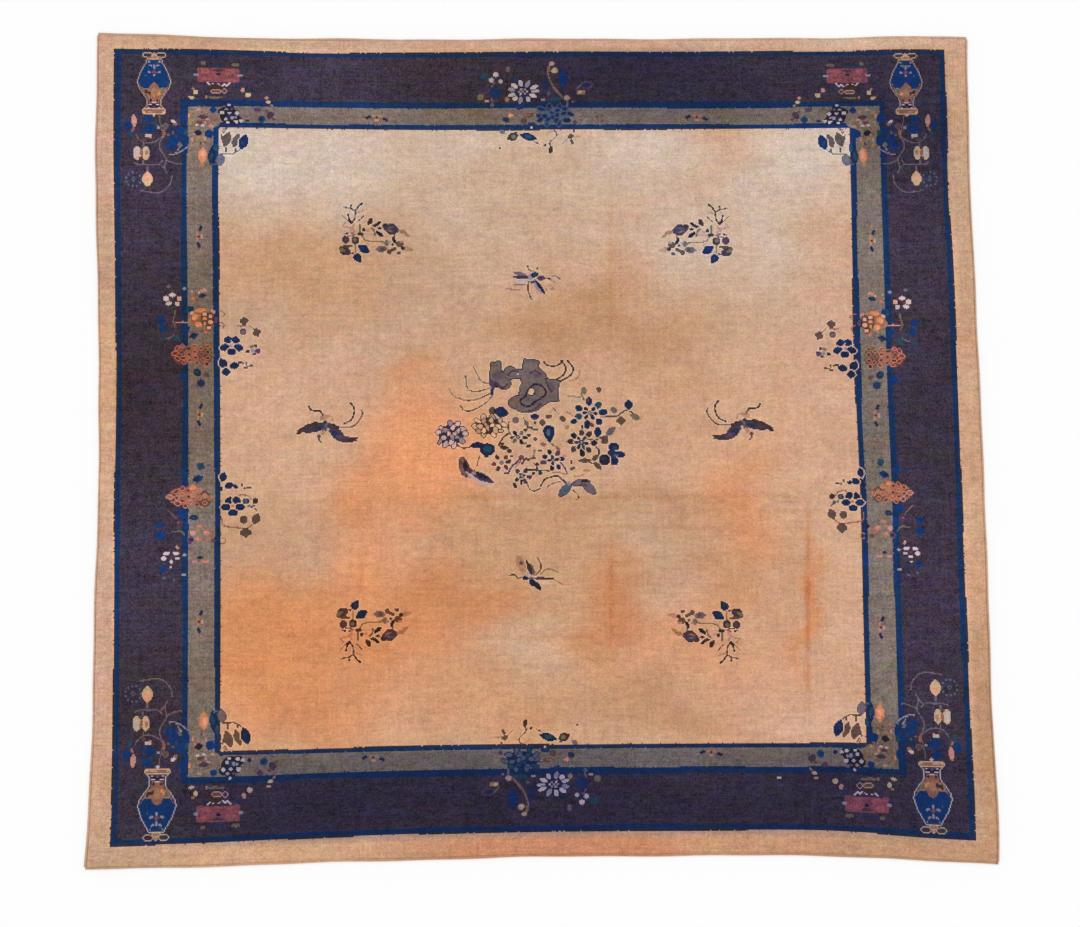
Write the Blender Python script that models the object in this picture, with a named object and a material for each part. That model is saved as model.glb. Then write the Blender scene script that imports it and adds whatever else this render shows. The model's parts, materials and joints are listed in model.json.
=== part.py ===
"""A near-square Chinese pile rug, lying flat.

One closed solid: a wool pile on a woven foundation, with a low overcast edge all round.
Metres, +Z up. The underside is at z = 0 and the origin is below the middle of the rug.
+X runs to the right of the design and +Y to its top.

Places in the weave are counted in knots from the lower left corner. A hand-woven rug isn't
square: each line of the design creeps away from its straight place, and two short tables
say by how much.
"""

import math

import bmesh
import bpy

# The weave, in knots and metres
KNOT_PITCH = 0.0032
KNOTS_ACROSS = 832
KNOTS_UP = 776

# Heights above the floor, in metres
PILE_TOP = 0.009
EDGE_TOP = 0.005

# The overcast edge and the shoulder of the pile, in metres from the outline
EDGE_WIDTH = 0.0075
PILE_SHOULDER = 0.0055
CORNER_RADIUS = 0.008

# Spacing of the outline's points, in knots, and steps in each round corner
OUTLINE_STEP = 16
CORNER_STEPS = 3

# Small waves of the outline: wave length in metres, height in metres, start in turns
EDGE_WAVES = (
    (0.61, 0.0012, 0.15),
    (0.27, 0.0008, 0.60),
)

# Upright lines of the design, in knots from the left edge: both rug edges, the outer side of
# both outer stripes and both sides of the field.
UPRIGHT_LINES = (0, 18, 116, 712, 809, 832)

# How far the upright lines lie to the right of their straight places, in millimetres.
# row: knots up; then left edge, left stripe, left of field, right of field, right stripe, right edge
UPRIGHT_CREEP_MM = (
    (0, 9, 22, 30, 19, 23, 16),
    (57, 18, 27, 29, 19, 22, 17),
    (110, 21, 27, 27, 18, 18, 10),
    (220, 20, 21, 22, 16, 13, 5),
    (330, 22, 14, 15, 14, 8, 3),
    (445, 16, 10, 7, 5, 4, -5),
    (560, 0, -1, -4, 3, -3, -11),
    (617, -7, -8, -9, 3, -10, -19),
    (670, -14, -14, -11, 2, -10, -17),
    (776, -16, -21, -14, 1, -12, -16),
)

# Level lines of the design, in knots from the lower edge, in the same order.
LEVEL_LINES = (0, 23, 104, 686, 762, 776)

# How far the level lines lie above their straight places, in millimetres.
# column: knots across; then lower edge, lower stripe, foot of field, head of field, upper stripe, upper edge
LEVEL_CREEP_MM = (
    (0, -14, -24, -11, 8, 12, 15),
    (98, -6, -14, -8, 5, 6, 4),
    (154, 0, -6, -5, 3, 1, -2),
    (210, 6, 3, 2, 0, -4, -4),
    (322, 16, 15, 10, -4, -4, -6),
    (434, 24, 22, 14, -2, -1, -4),
    (545, 26, 24, 17, -1, -2, -4),
    (657, 27, 24, 18, 1, 1, -2),
    (713, 21, 16, 16, 3, 2, 0),
    (770, 10, 3, 12, 6, 6, 4),
    (832, 1, -7, 8, 8, 3, 0),
)

# The pile's colour, finish and metallic value
PILE_COLOUR = (0.58, 0.40, 0.27, 1.0)
PILE_ROUGHNESS = 0.95
PILE_METALLIC = 0.0


def interval(stations, place):
    """Number of the interval between stations that holds a place."""
    last = len(stations) - 2
    for index in range(last):
        if place < stations[index + 1]:
            return index
    return last


def smooth_value(stations, values, place):
    """Read a smooth curve through the values at their stations."""
    index = interval(stations, place)
    low = stations[index]
    span = stations[index + 1] - low
    part = min(max((place - low) / span, 0.0), 1.0)

    def slope(point):
        before = max(point - 1, 0)
        after = min(point + 1, len(stations) - 1)
        return (values[after] - values[before]) / (stations[after] - stations[before])

    start = values[index]
    rise = values[index + 1] - start
    turn_in = slope(index) * span
    turn_out = slope(index + 1) * span
    square = part * part
    cube = square * part
    return (start + rise * (3 * square - 2 * cube)
            + turn_in * (cube - 2 * square + part)
            + turn_out * (cube - square))


def creep(table, lines, along, across):
    """Creep in metres at a place: smooth along each line, even between two lines."""
    stations = [row[0] for row in table]
    index = interval(lines, across)
    part = (across - lines[index]) / (lines[index + 1] - lines[index])
    near = smooth_value(stations, [row[index + 1] for row in table], along)
    far = smooth_value(stations, [row[index + 2] for row in table], along)
    return (near + (far - near) * part) / 1000.0


def floor_place(across, up):
    """Floor coordinates in metres of a place in the weave, given in knots."""
    x = (across - KNOTS_ACROSS / 2) * KNOT_PITCH
    y = (up - KNOTS_UP / 2) * KNOT_PITCH
    x += creep(UPRIGHT_CREEP_MM, UPRIGHT_LINES, up, across)
    y += creep(LEVEL_CREEP_MM, LEVEL_LINES, across, up)
    return x, y


def edge_wave(distance):
    """Small unevenness of the outline at a distance along it, in metres."""
    total = 0.0
    for length, height, start in EDGE_WAVES:
        total += height * math.sin(2 * math.pi * (distance / length + start))
    return total


def side_stations(length, corner, full_length):
    """Evenly spread places along one side, between its two round corners."""
    count = round(full_length / OUTLINE_STEP)
    clear = length - 2 * corner
    return [corner + clear * step / count for step in range(count + 1)]


def ring_places(inset):
    """Places in knots round the rug, anticlockwise, at an inset in metres from its outline."""
    gap = inset / KNOT_PITCH
    corner = CORNER_RADIUS / KNOT_PITCH
    width = KNOTS_ACROSS - 2 * gap
    height = KNOTS_UP - 2 * gap
    sides = (
        (gap, gap, 0, width, KNOTS_ACROSS),
        (gap + width, gap, 90, height, KNOTS_UP),
        (gap + width, gap + height, 180, width, KNOTS_ACROSS),
        (gap, gap + height, 270, height, KNOTS_UP),
    )
    places = []
    travelled = 0.0
    for start_across, start_up, heading, length, full_length in sides:
        turn = math.radians(heading)
        ahead = (math.cos(turn), math.sin(turn))
        inward = (-ahead[1], ahead[0])
        for station in side_stations(length, corner, full_length):
            wave = edge_wave((travelled + station) * KNOT_PITCH) / KNOT_PITCH
            across = start_across + ahead[0] * station + inward[0] * wave
            up = start_up + ahead[1] * station + inward[1] * wave
            places.append((across, up))
        centre_across = start_across + ahead[0] * (length - corner) + inward[0] * corner
        centre_up = start_up + ahead[1] * (length - corner) + inward[1] * corner
        for step in range(1, CORNER_STEPS):
            angle = turn - math.pi / 2 + math.pi / 2 * step / CORNER_STEPS
            places.append((centre_across + corner * math.cos(angle),
                           centre_up + corner * math.sin(angle)))
        travelled += full_length
    return places


def rim_profile():
    """Insets and heights from the underside, over the overcast edge, to the top of the pile."""
    shoulder = EDGE_WIDTH + PILE_SHOULDER
    return (
        (0.0006, 0.0),
        (0.0, EDGE_TOP * 0.45),
        (0.0012, EDGE_TOP * 0.88),
        (EDGE_WIDTH * 0.45, EDGE_TOP),
        (EDGE_WIDTH, EDGE_TOP * 0.92),
        (EDGE_WIDTH + PILE_SHOULDER * 0.25, PILE_TOP * 0.82),
        (EDGE_WIDTH + PILE_SHOULDER * 0.60, PILE_TOP * 0.96),
        (shoulder, PILE_TOP),
    )


def rug_mesh():
    """The rug's closed mesh, centred on its bounding box."""
    body = bmesh.new()
    rings = []
    for inset, height in rim_profile():
        ring = []
        for across, up in ring_places(inset):
            x, y = floor_place(across, up)
            ring.append(body.verts.new((x, y, height)))
        rings.append(ring)
    for lower, upper in zip(rings, rings[1:]):
        count = len(lower)
        for index in range(count):
            after = (index + 1) % count
            body.faces.new((lower[index], lower[after], upper[after], upper[index]))
    body.faces.new(list(reversed(rings[0])))
    body.faces.new(rings[-1])

    xs = [vertex.co.x for vertex in body.verts]
    ys = [vertex.co.y for vertex in body.verts]
    middle_x = (min(xs) + max(xs)) / 2
    middle_y = (min(ys) + max(ys)) / 2
    for vertex in body.verts:
        vertex.co.x -= middle_x
        vertex.co.y -= middle_y

    mesh = bpy.data.meshes.new("rug")
    body.to_mesh(mesh)
    body.free()
    mesh.shade_smooth()
    mesh.set_sharp_from_angle(angle=math.radians(30))
    return mesh


def pile_material():
    """Matt wool."""
    material = bpy.data.materials.new("wool_pile")
    material.use_nodes = True
    shader = material.node_tree.nodes["Principled BSDF"]
    shader.inputs["Base Color"].default_value = PILE_COLOUR
    shader.inputs["Roughness"].default_value = PILE_ROUGHNESS
    shader.inputs["Metallic"].default_value = PILE_METALLIC
    return material


def clear_scene():
    for item in list(bpy.data.objects):
        bpy.data.objects.remove(item, do_unlink=True)


def build_rug():
    rug = bpy.data.objects.new("rug", rug_mesh())
    rug.data.materials.append(pile_material())
    bpy.context.collection.objects.link(rug)


clear_scene()
build_rug()
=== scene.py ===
"""A near-square Chinese pile rug, charted knot by knot, lying on a pale floor."""

import json
import math

import bpy
import numpy as np
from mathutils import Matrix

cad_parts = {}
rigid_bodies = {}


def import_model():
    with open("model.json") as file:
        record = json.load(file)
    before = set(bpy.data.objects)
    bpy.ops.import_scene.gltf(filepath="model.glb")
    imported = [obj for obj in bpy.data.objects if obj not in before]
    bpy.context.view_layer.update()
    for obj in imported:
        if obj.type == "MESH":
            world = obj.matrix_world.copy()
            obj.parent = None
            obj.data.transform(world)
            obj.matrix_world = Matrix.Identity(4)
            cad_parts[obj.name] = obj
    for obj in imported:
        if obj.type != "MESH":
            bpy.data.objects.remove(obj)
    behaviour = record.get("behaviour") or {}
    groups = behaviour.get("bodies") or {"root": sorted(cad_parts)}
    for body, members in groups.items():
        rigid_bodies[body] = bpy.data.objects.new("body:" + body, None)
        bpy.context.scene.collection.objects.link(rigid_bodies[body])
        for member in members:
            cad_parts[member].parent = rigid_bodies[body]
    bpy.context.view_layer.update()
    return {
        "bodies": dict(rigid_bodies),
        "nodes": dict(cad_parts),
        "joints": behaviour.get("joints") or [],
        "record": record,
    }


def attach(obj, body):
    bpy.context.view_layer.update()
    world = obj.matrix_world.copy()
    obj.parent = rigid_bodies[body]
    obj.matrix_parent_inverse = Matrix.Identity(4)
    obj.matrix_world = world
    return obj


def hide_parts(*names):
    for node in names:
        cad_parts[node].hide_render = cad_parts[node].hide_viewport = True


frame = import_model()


def entry(word):
    """A number, a place such as 3,-5 or a name, from one word of a table."""
    if "," in word:
        return tuple(float(part) for part in word.split(","))
    return float(word) if word.strip("-.0123456789") == "" else word


def table(text):
    """Rows of a table written in plain words. Its first line names the columns."""
    return [[entry(word) for word in line.split()] for line in text.strip().splitlines()[1:]]


# The weave, in knots and metres, as in the CAD part
KNOT_PITCH = 0.0032
KNOTS_ACROSS = 832
KNOTS_UP = 776

# Heights above the floor and widths of the edge, in metres
PILE_TOP = 0.009
EDGE_TOP = 0.005
EDGE_WIDTH = 0.0075
PILE_SHOULDER = 0.0055
BACK_TOP = 0.003

# Waves of the outline: wave length in metres, height in metres, start in turns
EDGE_WAVES = (
    (0.61, 0.0012, 0.15),
    (0.27, 0.0008, 0.60),
)

# Upright lines of the design, in knots, and how far they lie to the right, in millimetres.
# row: knots up; then left edge, left stripe, left of field, right of field, right stripe,
# right edge
UPRIGHT_LINES = (0, 18, 116, 712, 809, 832)
UPRIGHT_CREEP_MM = (
    (0, 9, 22, 30, 19, 23, 16),
    (57, 18, 27, 29, 19, 22, 17),
    (110, 21, 27, 27, 18, 18, 10),
    (220, 20, 21, 22, 16, 13, 5),
    (330, 22, 14, 15, 14, 8, 3),
    (445, 16, 10, 7, 5, 4, -5),
    (560, 0, -1, -4, 3, -3, -11),
    (617, -7, -8, -9, 3, -10, -19),
    (670, -14, -14, -11, 2, -10, -17),
    (776, -16, -21, -14, 1, -12, -16),
)

# Level lines of the design, in knots, and how far they lie above their places, in millimetres.
# row: knots across; then lower edge, lower stripe, foot of field, head of field, upper stripe,
# upper edge
LEVEL_LINES = (0, 23, 104, 686, 762, 776)
LEVEL_CREEP_MM = (
    (0, -14, -24, -11, 8, 12, 15),
    (98, -6, -14, -8, 5, 6, 4),
    (154, 0, -6, -5, 3, 1, -2),
    (210, 6, 3, 2, 0, -4, -4),
    (322, 16, 15, 10, -4, -4, -6),
    (434, 24, 22, 14, -2, -1, -4),
    (545, 26, 24, 17, -1, -2, -4),
    (657, 27, 24, 18, 1, 1, -2),
    (713, 21, 16, 16, 3, 2, 0),
    (770, 10, 3, 12, 6, 6, 4),
    (832, 1, -7, 8, 8, 3, 0),
)

# Yarns: red, green and blue from 0 to 255, and how much the shade varies from knot to knot
YARNS = table("""
name red green blue mottle
margin 204 162 132 0.17
field 205 161 130 0.13
halo 214 176 148 0.1
border 57 48 63 0.46
band 118 105 97 0.3
stripe 18 46 85 0.26
stripe_edge 44 44 60 0.26
inner_edge 54 42 54 0.26
ink 36 31 46 0.26
navy 26 38 70 0.26
royal 16 50 100 0.24
dusk 38 46 78 0.24
teal 34 66 84 0.24
slate 80 88 106 0.2
plum 70 54 70 0.24
violet 84 60 88 0.24
vine 106 92 102 0.2
lilac 140 130 146 0.18
pale 176 164 172 0.14
white 196 175 178 0.12
cream 188 160 130 0.14
peach 210 150 126 0.14
pink 184 132 124 0.16
coral 180 112 90 0.18
orange 204 128 86 0.18
sandy 166 140 124 0.16
rust 142 94 78 0.22
brick 148 82 84 0.3
rose 128 70 80 0.34
maroon 98 54 52 0.24
brown 94 70 60 0.22
umber 64 46 44 0.24
mixed 122 104 92 0.34
stone 120 98 88 0.2
heather 98 80 88 0.2
clay 172 128 106 0.2
rock 110 95 94 0.2
olive 108 98 80 0.22
tan 154 114 86 0.18
""")
YARN_NUMBERS = {row[0]: number for number, row in enumerate(YARNS)}

# The plain bands from the outside in: yarn, then left, foot, right and head in knots
BANDS = (
    ("stripe_edge", 18, 23, 809, 762),
    ("stripe", 20, 25, 807, 760),
    ("border", 24, 29, 803, 757),
    ("stripe", 81, 76, 748, 713),
    ("band", 87, 82, 742, 707),
    ("stripe", 111, 100, 718, 691),
    ("inner_edge", 116, 103, 713, 687),
    ("field", 117, 104, 712, 686),
)

# Steps of one knot along the edges of the bands: knots in a run, share of the runs, share of
# single knots, and seed
RAGGED_RUN = 60
RAGGED_RUNS = 0.25
RAGGED_KNOTS = 0.06
BAND_SEED = 11

# How far round its middle a form is looked for, as a share of its length
WINDOW_SHARE = 0.8

# A drop's width, the slope of a lobed leaf's tip, and its lobes: place back along the leaf, place
# aside, and squares of its half length and half width, as shares of the leaf's own halves
DROP_WIDTH = 2.6
LOBED_TIP = 0.9
LOBES = (
    (0.10, 0.46, 0.26, 0.30),
    (0.02, -0.46, 0.26, 0.30),
    (0.50, 0.0, 0.25, 0.30),
)

# Motifs, in knots to the right of and above the motif's own middle, headings in degrees.
# A form without a heading lies level, and one without an edge has no outline.
# The points of a stroke are places that it passes through.
SPRIG_FORMS = table("""
kind right up long wide yarn heading edge
oval -27.6 -8 7 7.4 plum 20
oval -27 -9 3 4 maroon
oval -18.6 -8.6 7.4 8 umber
oval -19 -8 4 4 olive
leaf -27 -14.6 15 3 brown 5
oval -28.4 -19.4 9 8 umber -15
oval -26 -20 6 6 plum
leaf -31 -18 8 4 olive -30
oval -21.4 -21.4 3 2 plum
leaf -10.6 -16.8 13 8 navy -32 halo
oval -12 -16.4 4 3 royal
oval -16.6 -25 8 7.4 navy 0 halo
leaf -15 -28 6 4 navy -40
oval -16.4 -26 4 4 dusk
oval -26.4 -2.2 4.4 1.6 ink 10
oval -20.6 1 5 3.4 pink -30
oval -19 -2.6 4 2 coral -30
bar -14 2.6 1.6 8 olive
oval -10.4 1.6 3 4 umber
oval -13.4 -2.6 7 3 umber
oval -7 0.6 4 3 pink
leaf -4.4 9.6 9 4.4 umber 60
leaf 3.4 7.6 8 3 ink 45
oval 0.4 6 6 3 umber 10
oval 4.6 3.4 4.4 2.4 ink
leaf 4.4 -2.2 9 4 ink -38
oval 10 5.6 6.4 4.4 umber
leaf 15.6 2.4 14 9 plum -8 umber
leaf 14.6 4 8 1.8 slate 12
leaf 14.6 0.8 8 1.8 rust -16
leaf 26 0 9 4 tan -15
leaf 30 -3 8 3 tan -35
oval 10.6 -11 5 5.4 olive
oval 13.4 -10 2.6 3 lilac
leaf 18 -8.6 7 3.4 ink -65
oval 16.6 -12.4 2.4 2.4 navy
oval 23.4 -12 7 6.4 brown
oval 25 -10 4 3 clay
leaf 30 -16.6 13 4.4 clay -12
leaf 6 -16.8 12 6.4 vine 5
oval 7.4 -17 4 5 brown
oval 13.4 -19.6 4.4 5.4 brown -30
oval 17.6 -17 6 3 brown 20
oval 22 -20.6 4 3.4 brown 30
oval 26 -16 4 4 umber
""")
SPRIG_STROKES = table("""
yarn width points
umber 1.3 -22,8 -26,11 -31,16
ink 1.5 -22,8 -24,12 -25,16
umber 1.6 -22,8 -19,12 -18,20
ink 1.5 -18,20 -16,23 -12,27
umber 1.4 -18,20 -22,22 -22,26
brown 1.2 -22,22 -29,23.4
brown 1.2 -16,10 -13,12 -10,16
clay 1.2 -18,19 -14,19 -10,21
clay 1.5 -28,8 -30,5 -26,4 -22,3 -20,6
plum 1.2 -23,-1 -20,-4 -26,-5
pink 1.1 -9,-2.6 0,-2.6
olive 1.3 -19,-11 -18.6,-16 -18.4,-21
maroon 1.2 -22,-20 -19,-22
olive 1.2 -13,-3 -11,-6 -7,-9 8,-10
olive 1.8 -3,3 -1,1 0,-3
brown 1.2 19,-1 18,-5 19,-8
pink 1.1 -9,-10 -6,-13 -8,-16
""")

BIRD_FORMS = table("""
kind right up long wide yarn heading edge
leaf -14 -4.6 35 9 umber 11
leaf -13 -5.4 27 6 plum 8
leaf -8 -5 16 3.4 dusk 5
oval -14 -1.4 8 4.4 umber 10
oval -20 -3 6 4 umber 20
oval -28.4 -9.6 5 3.4 umber 20
oval -4 -0.4 5 4 umber
oval -1 -3 8 6 slate
oval -4 -6.4 6 4 brown
oval 2 -5 9 9 umber -40
oval 0 -6 4 4 olive
leaf 7 -11 22 10 plum -46
oval 6 -12 10 6 dusk -45
leaf 15 -16 23 6 plum -6
leaf 10 -14 12 4 violet -20
leaf 21 -16 13 2.8 umber 12
oval -1.6 -6.4 2.4 2.4 pale
oval -5 4.4 9 4.4 clay 15
oval -6 -9.6 6 4 clay 40
oval -10 -13 4 3.4 brown
oval 7.4 -4.4 3.4 3 umber
""")
BIRD_STROKES = table("""
yarn width points
umber 1.7 -6,7 -9,11 -13,11 -17,12 -19,15
brown 1.4 -10,-13 -10,-16 -7,-19
clay 1.3 -9,5 -3,6 2,5 3,1
umber 1.6 20,18 23,14 23,8 20,2 14,-1
brown 1.4 30,12 31,8 28,2 21,-4 9,-4.4
""")

TOP_INSECT_FORMS = table("""
kind right up long wide yarn heading edge
leaf -12 3 15 4 vine -15
leaf -11 -4 12 3.4 pale
leaf -11 0 19 3.6 plum -2
leaf -11 0.4 14 2 umber -2
oval -2.6 0 5 6 lilac
oval 0 -4.6 7 3 lilac 20
leaf 5 -9.6 16 6.4 lilac -55
leaf 6.4 -9.4 18 3 ink -56
oval -0.4 -4.6 5 1.6 umber 10
oval 1.4 2.4 7.4 5 ink 20
oval 2 3 4 2.4 teal 20
oval 7 -1 7.4 5 violet 10
oval 7.6 -0.6 4 3 plum
oval 4 8.4 2 2 brown
oval 13.6 -4.4 7 3.4 halo
oval 7 4.6 4 3 halo
oval 18 -11.4 4 3 clay
oval 12 -12 3 4 clay
""")
TOP_INSECT_STROKES = table("""
yarn width points
brown 1.3 0,6 -4,7 -5,11
olive 1.1 -17,-7 -8,-7
tan 1.3 -25,-11 -18,-12 -13,-12
brown 1.5 -4,-4 -5,-8 -5,-13 -2,-21
umber 1.5 8,-2 13,-1 16,-2
tan 1.2 17,-3 20,-5
brown 1.1 18,1 21,1 25,-2
""")

LOW_INSECT_FORMS = table("""
kind right up long wide yarn heading edge
oval -9.4 14 17 7.4 clay 112
oval -8.4 11 8 4 pink 120
oval -9 15 4 3 brown 120
leaf 0.6 9 13 4 slate 108
leaf -1.6 10 17 4 umber 110
oval 2.6 6.6 2.4 3 rose
leaf 13 -3.4 13 3.4 halo -6
leaf 8.6 0.6 13 3.6 violet
oval 15 0.4 13 2.6 umber
oval -5.4 1 6 4 navy -10
oval -3.4 4 5 4 pale
oval 0 0 4 5 slate
oval 0.6 -2.6 6 5 ink
oval 1.6 -4.4 7 4.4 navy -20
leaf 5.4 -6 12 5 ink -50
oval 5 -4.6 3 2.4 dusk
""")
LOW_INSECT_STROKES = table("""
yarn width points
brown 1.4 -20,4 -15,4 -12,1 -9,2
brown 1.4 6,20 9,13 8,8 4,4
tan 1.3 9,5 14,9 19,9 25,6
ink 1.2 7,-8 8,-10
tan 1.1 22,-1 29,-5
""")

ROCK_LUMPS = table("""
kind right up long wide heading
oval -26 9 15 16 0
bar -27 17 9 15 4
bar -28 9 10 13 0
oval -20 4 12 11 0
oval -14 14 12 12 0
bar -5 13 22 7 0
bar 5 18 14 16 -6
oval 8 8 24 22 -20
bar 22 3 18 9 -12
bar 24 -3 12 20 3
oval 18 -10 14 10 20
oval 1 -4 13 22 -8
oval -7 -14 19 12 10
oval 3 -17 26 12 8
oval 12 -10 26 16 20
""")
ROCK_FORMS = table("""
kind right up long wide yarn heading edge
oval -26 12 10 9 heather 30
oval -20 4 7 6 stone
oval -30 17 4 7 stone
oval 8 20 9 9 stone
oval 12 12 8 6 heather 20
oval 20 -4 14 9 stone
oval 24 0 7 10 heather
oval -8 -14 12 6 stone 10
oval 10 -14 9 6 heather 20
oval 0 8 8 6 stone
oval 5 -4 6 7 halo 0 ink
oval 8 -6 2 2 ink
leaf -31 3 12 5 violet -78
leaf -31.6 -4 9 3 dusk -88
oval -27 3 5 4 dusk
oval -7 13 2.4 2.4 pale
""")
ROCK_STROKES = table("""
yarn width points
ink 1.5 8,3 2,-3 0,-8 -5,-12 -4,-16 3,-18 8,-14
ink 1.5 8,3 14,2 19,-4 16,-9 8,-14
plum 1.5 5,14 9,16 14,13
plum 1.5 -16,12 -12,16 -7,15
plum 1.5 -28,5 -22,0 -17,3
plum 1.5 19,8 21,1 24,-4
plum 1.5 14,-16 9,-20 3,-22
""")

# The middle group's places are counted from the corner of the rug
BLADE_STROKES = table("""
yarn width points
brown 1.1 354,458 358,450 362,443 370,441
brown 1.2 347,449 348,438 352,434 360,434 370,437
tan 1.1 331,437 335,430 339,427
brown 1.2 339,428 344,426 350,425 360,427 372,433
brown 1.3 341,421 345,416 350,415 358,418 367,424 372,430
umber 1.5 421,461 424,458 430,457 435,459 438,462
umber 1.7 437,462 441,456 439,449 433,445 430,443
umber 1.7 443,462 448,455 446,449 440,445 433,442
tan 1.2 454,453 453,448 449,444 444,443
""")

CENTRE_FORMS = table("""
kind right up long wide yarn heading edge
oval 371.4 415 7 7.4 brown
leaf 379.6 414 15 10 navy -15
oval 377.6 415 6 6 dusk
oval 366 378.6 15 12 navy 0 halo
leaf 356.4 382.6 15 6 navy 5
oval 365 372.6 5 4 navy
oval 366.4 379 8 6 teal
oval 382 380 9 3.4 umber
oval 386.6 377 5 4 umber
oval 380 383.6 4 3 umber
oval 393 406 6.4 6 vine
oval 402 389 4 3 ink
oval 401.4 397 4 3 umber
oval 403 403 5 4 olive
oval 407.4 399 4 3 brown
oval 411.4 397 5 3 brown
oval 405 391.6 4 3 umber
oval 410.6 388 4 3.4 brown
oval 401 384 4 3 olive
oval 404.6 381.6 5 3.4 umber 20
oval 411 409.4 8 5 navy 0 halo
oval 411 407 5 3 violet
oval 411 403.4 2.2 4 maroon
oval 418 403.6 6 6.4 brown
oval 424 409.4 7 4 brown 10
oval 437 407 6 5.4 brown -30
drop 424 392.6 17 11 navy -86 halo
oval 423.4 394 4 6 slate
oval 418.4 383 6 3.4 rust -10
oval 432 378.6 6 3 rust -40
oval 415 377 4 2 brown
oval 412 364.4 4 3 umber
oval 409 370 4 3 brown
oval 437 372 4 3 pink
oval 403 369 6 3 brown -20
oval 388.6 372 4 2.4 brown
oval 382.4 356 3 3 brown
oval 397 370.4 3 5 rose 20
oval 397 347.6 3 5 ink
oval 401.4 347 4 3 umber
oval 391 344.6 3 6 umber 20
oval 405 359 5 3 ink
oval 408.4 355.6 3 3 umber
oval 414.6 356 4 4 teal
oval 457.6 433.6 6 6.6 olive
oval 471.6 434.4 4.4 6 brown 10
oval 461 425 3 4 brown
oval 447.4 404.4 6.6 5 navy 25 halo
oval 464 401 5 3.4 maroon -20
oval 485 415 5.4 6.4 vine 20
leaf 499 420 10 8 navy 90 halo
leaf 505 408.4 11 6 olive -25
lobed 491.4 404.6 9 9 brown -90
oval 441 399 3.4 5 tan -30
leaf 469.4 394 11 7 navy 88 halo
lobed 475.4 387 9 8 brown 140
leaf 481.4 394.6 13 6 vine 42
oval 466.4 370 7 5 brown 35
leaf 456.6 367.4 14 4.4 brown
leaf 468.4 362.4 11 5 brown -48
oval 444 366 3 4 brown
oval 445 360 6 3 brown 10
oval 484 380 9.6 9 navy 0 halo
oval 489.4 373 10.6 6.6 navy -8 halo
oval 484 366.6 8 8 navy 0 halo
oval 482 373 9 9 dusk
oval 475 368 10.6 10.8 ink 0 halo
oval 485 379 5 4 teal
oval 486 372 4 3 slate
oval 474 369 6 4 dusk
""")
CENTRE_STROKES = table("""
yarn width points
umber 1.3 350,381 345,380 341,381 337,384
brown 1.2 359,373 357,368 356,363
brown 1.4 387,405 386,399 387,394 389,391
umber 1.5 385,393 380,388 377,383 380,381
brown 1.2 400,409 403,403 404,398 400,394
brown 1.1 404,400 409,397 413,397
plum 1.7 385,356 389,363 393,366 398,372 400,368 398,365
rose 1.2 391,361 395,365 397,368
plum 1.2 395,352 400,359 403,363
olive 1.4 410,378 409,372 405,369 401,369
brown 1.2 403,358 402,350 404,342 409,339 415,342
umber 1.4 404,359 410,359 424,358
rust 1.1 426,357 434,356 440,354
brown 1.4 425,384 429,381 434,376
plum 1.4 433,366 437,362 440,355
brown 1.3 428,418 431,414 434,411
tan 1.2 440,414 445,411 450,408
vine 1.1 442,429 449,428 455,427
brown 1.4 455,431 457,426 461,421
brown 1.1 472,409 480,409 488,409
umber 1.4 488,409 492,412 497,415 503,412
ink 1.4 455,401 456,393 460,388 468,387 472,391
brown 1.2 470,388 474,390 478,391
umber 1.4 466,381 470,377 469,371 465,368
umber 1.3 452,368 458,367 465,364
umber 1.1 408,366 412,362 411,357
coral 1.1 455,358 461,358
""")

# Blossoms of the middle group: across, up, seed of their unevenness, and their rings.
# Columns of a ring: petals, reach, petal length, petal width, yarns
BLOSSOMS = (
    (462.5, 412.5, 7, (
        (7, 11.6, 7.6, 6.2, ("navy", "teal", "navy")),
        (6, 5.2, 5.6, 3.4, ("ink", "navy")),
    )),
    (454, 384.5, 8, (
        (8, 10.6, 6.6, 5.4, ("ink", "umber", "plum")),
        (6, 4.8, 5.2, 3.2, ("ink", "teal")),
    )),
    (427, 368, 9, (
        (7, 8.4, 5.6, 4.6, ("navy", "violet", "ink")),
        (4, 3.4, 4.4, 3, ("ink", "dusk")),
    )),
    (379, 366, 10, (
        (6, 6.8, 5, 4, ("umber", "maroon")),
    )),
    (398, 353.5, 11, (
        (5, 6.6, 5.4, 4, ("plum", "umber")),
        (3, 1.8, 3, 3, ("dusk",)),
    )),
    (395, 390, 12, (
        (6, 5.6, 5, 3.8, ("umber", "olive", "ink")),
    )),
)

# Butterflies
BUTTERFLY_FORMS = table("""
kind right up long wide yarn heading edge
leaf 437.6 340 17 6.6 slate 48 plum
leaf 452 346.4 18 5.4 vine 8 plum
leaf 459.6 342 18 7 vine -45 plum
leaf 456 348 9 2.4 ink
oval 455 344.6 7 3 brown -20
oval 441 346 4 3.4 lilac
oval 344 362.6 8 18 vine 14 plum
leaf 346 361 16 5 ink 102
oval 341.6 366 3 6 brown 10
leaf 358 351.6 29 9 pale -26
leaf 360 353 27 7 plum -26
leaf 360 354 15 4 navy -20
oval 349 359 7 5 plum -40
oval 353 356.6 4 3 lilac -30
""")
BUTTERFLY_STROKES = table("""
yarn width points
umber 1.5 415,344 419,350 425,352 431,353 438,347
brown 1.2 420,341 424,345 430,347 434,348
brown 1.2 444,340 449,336 450,332 447,330
brown 1.2 341,356 344,354 347,352
brown 1.1 344,358 347,355 350,351
brown 1.2 352,358 354,360
coral 1.1 446,353 452,353 456,355
""")

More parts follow.
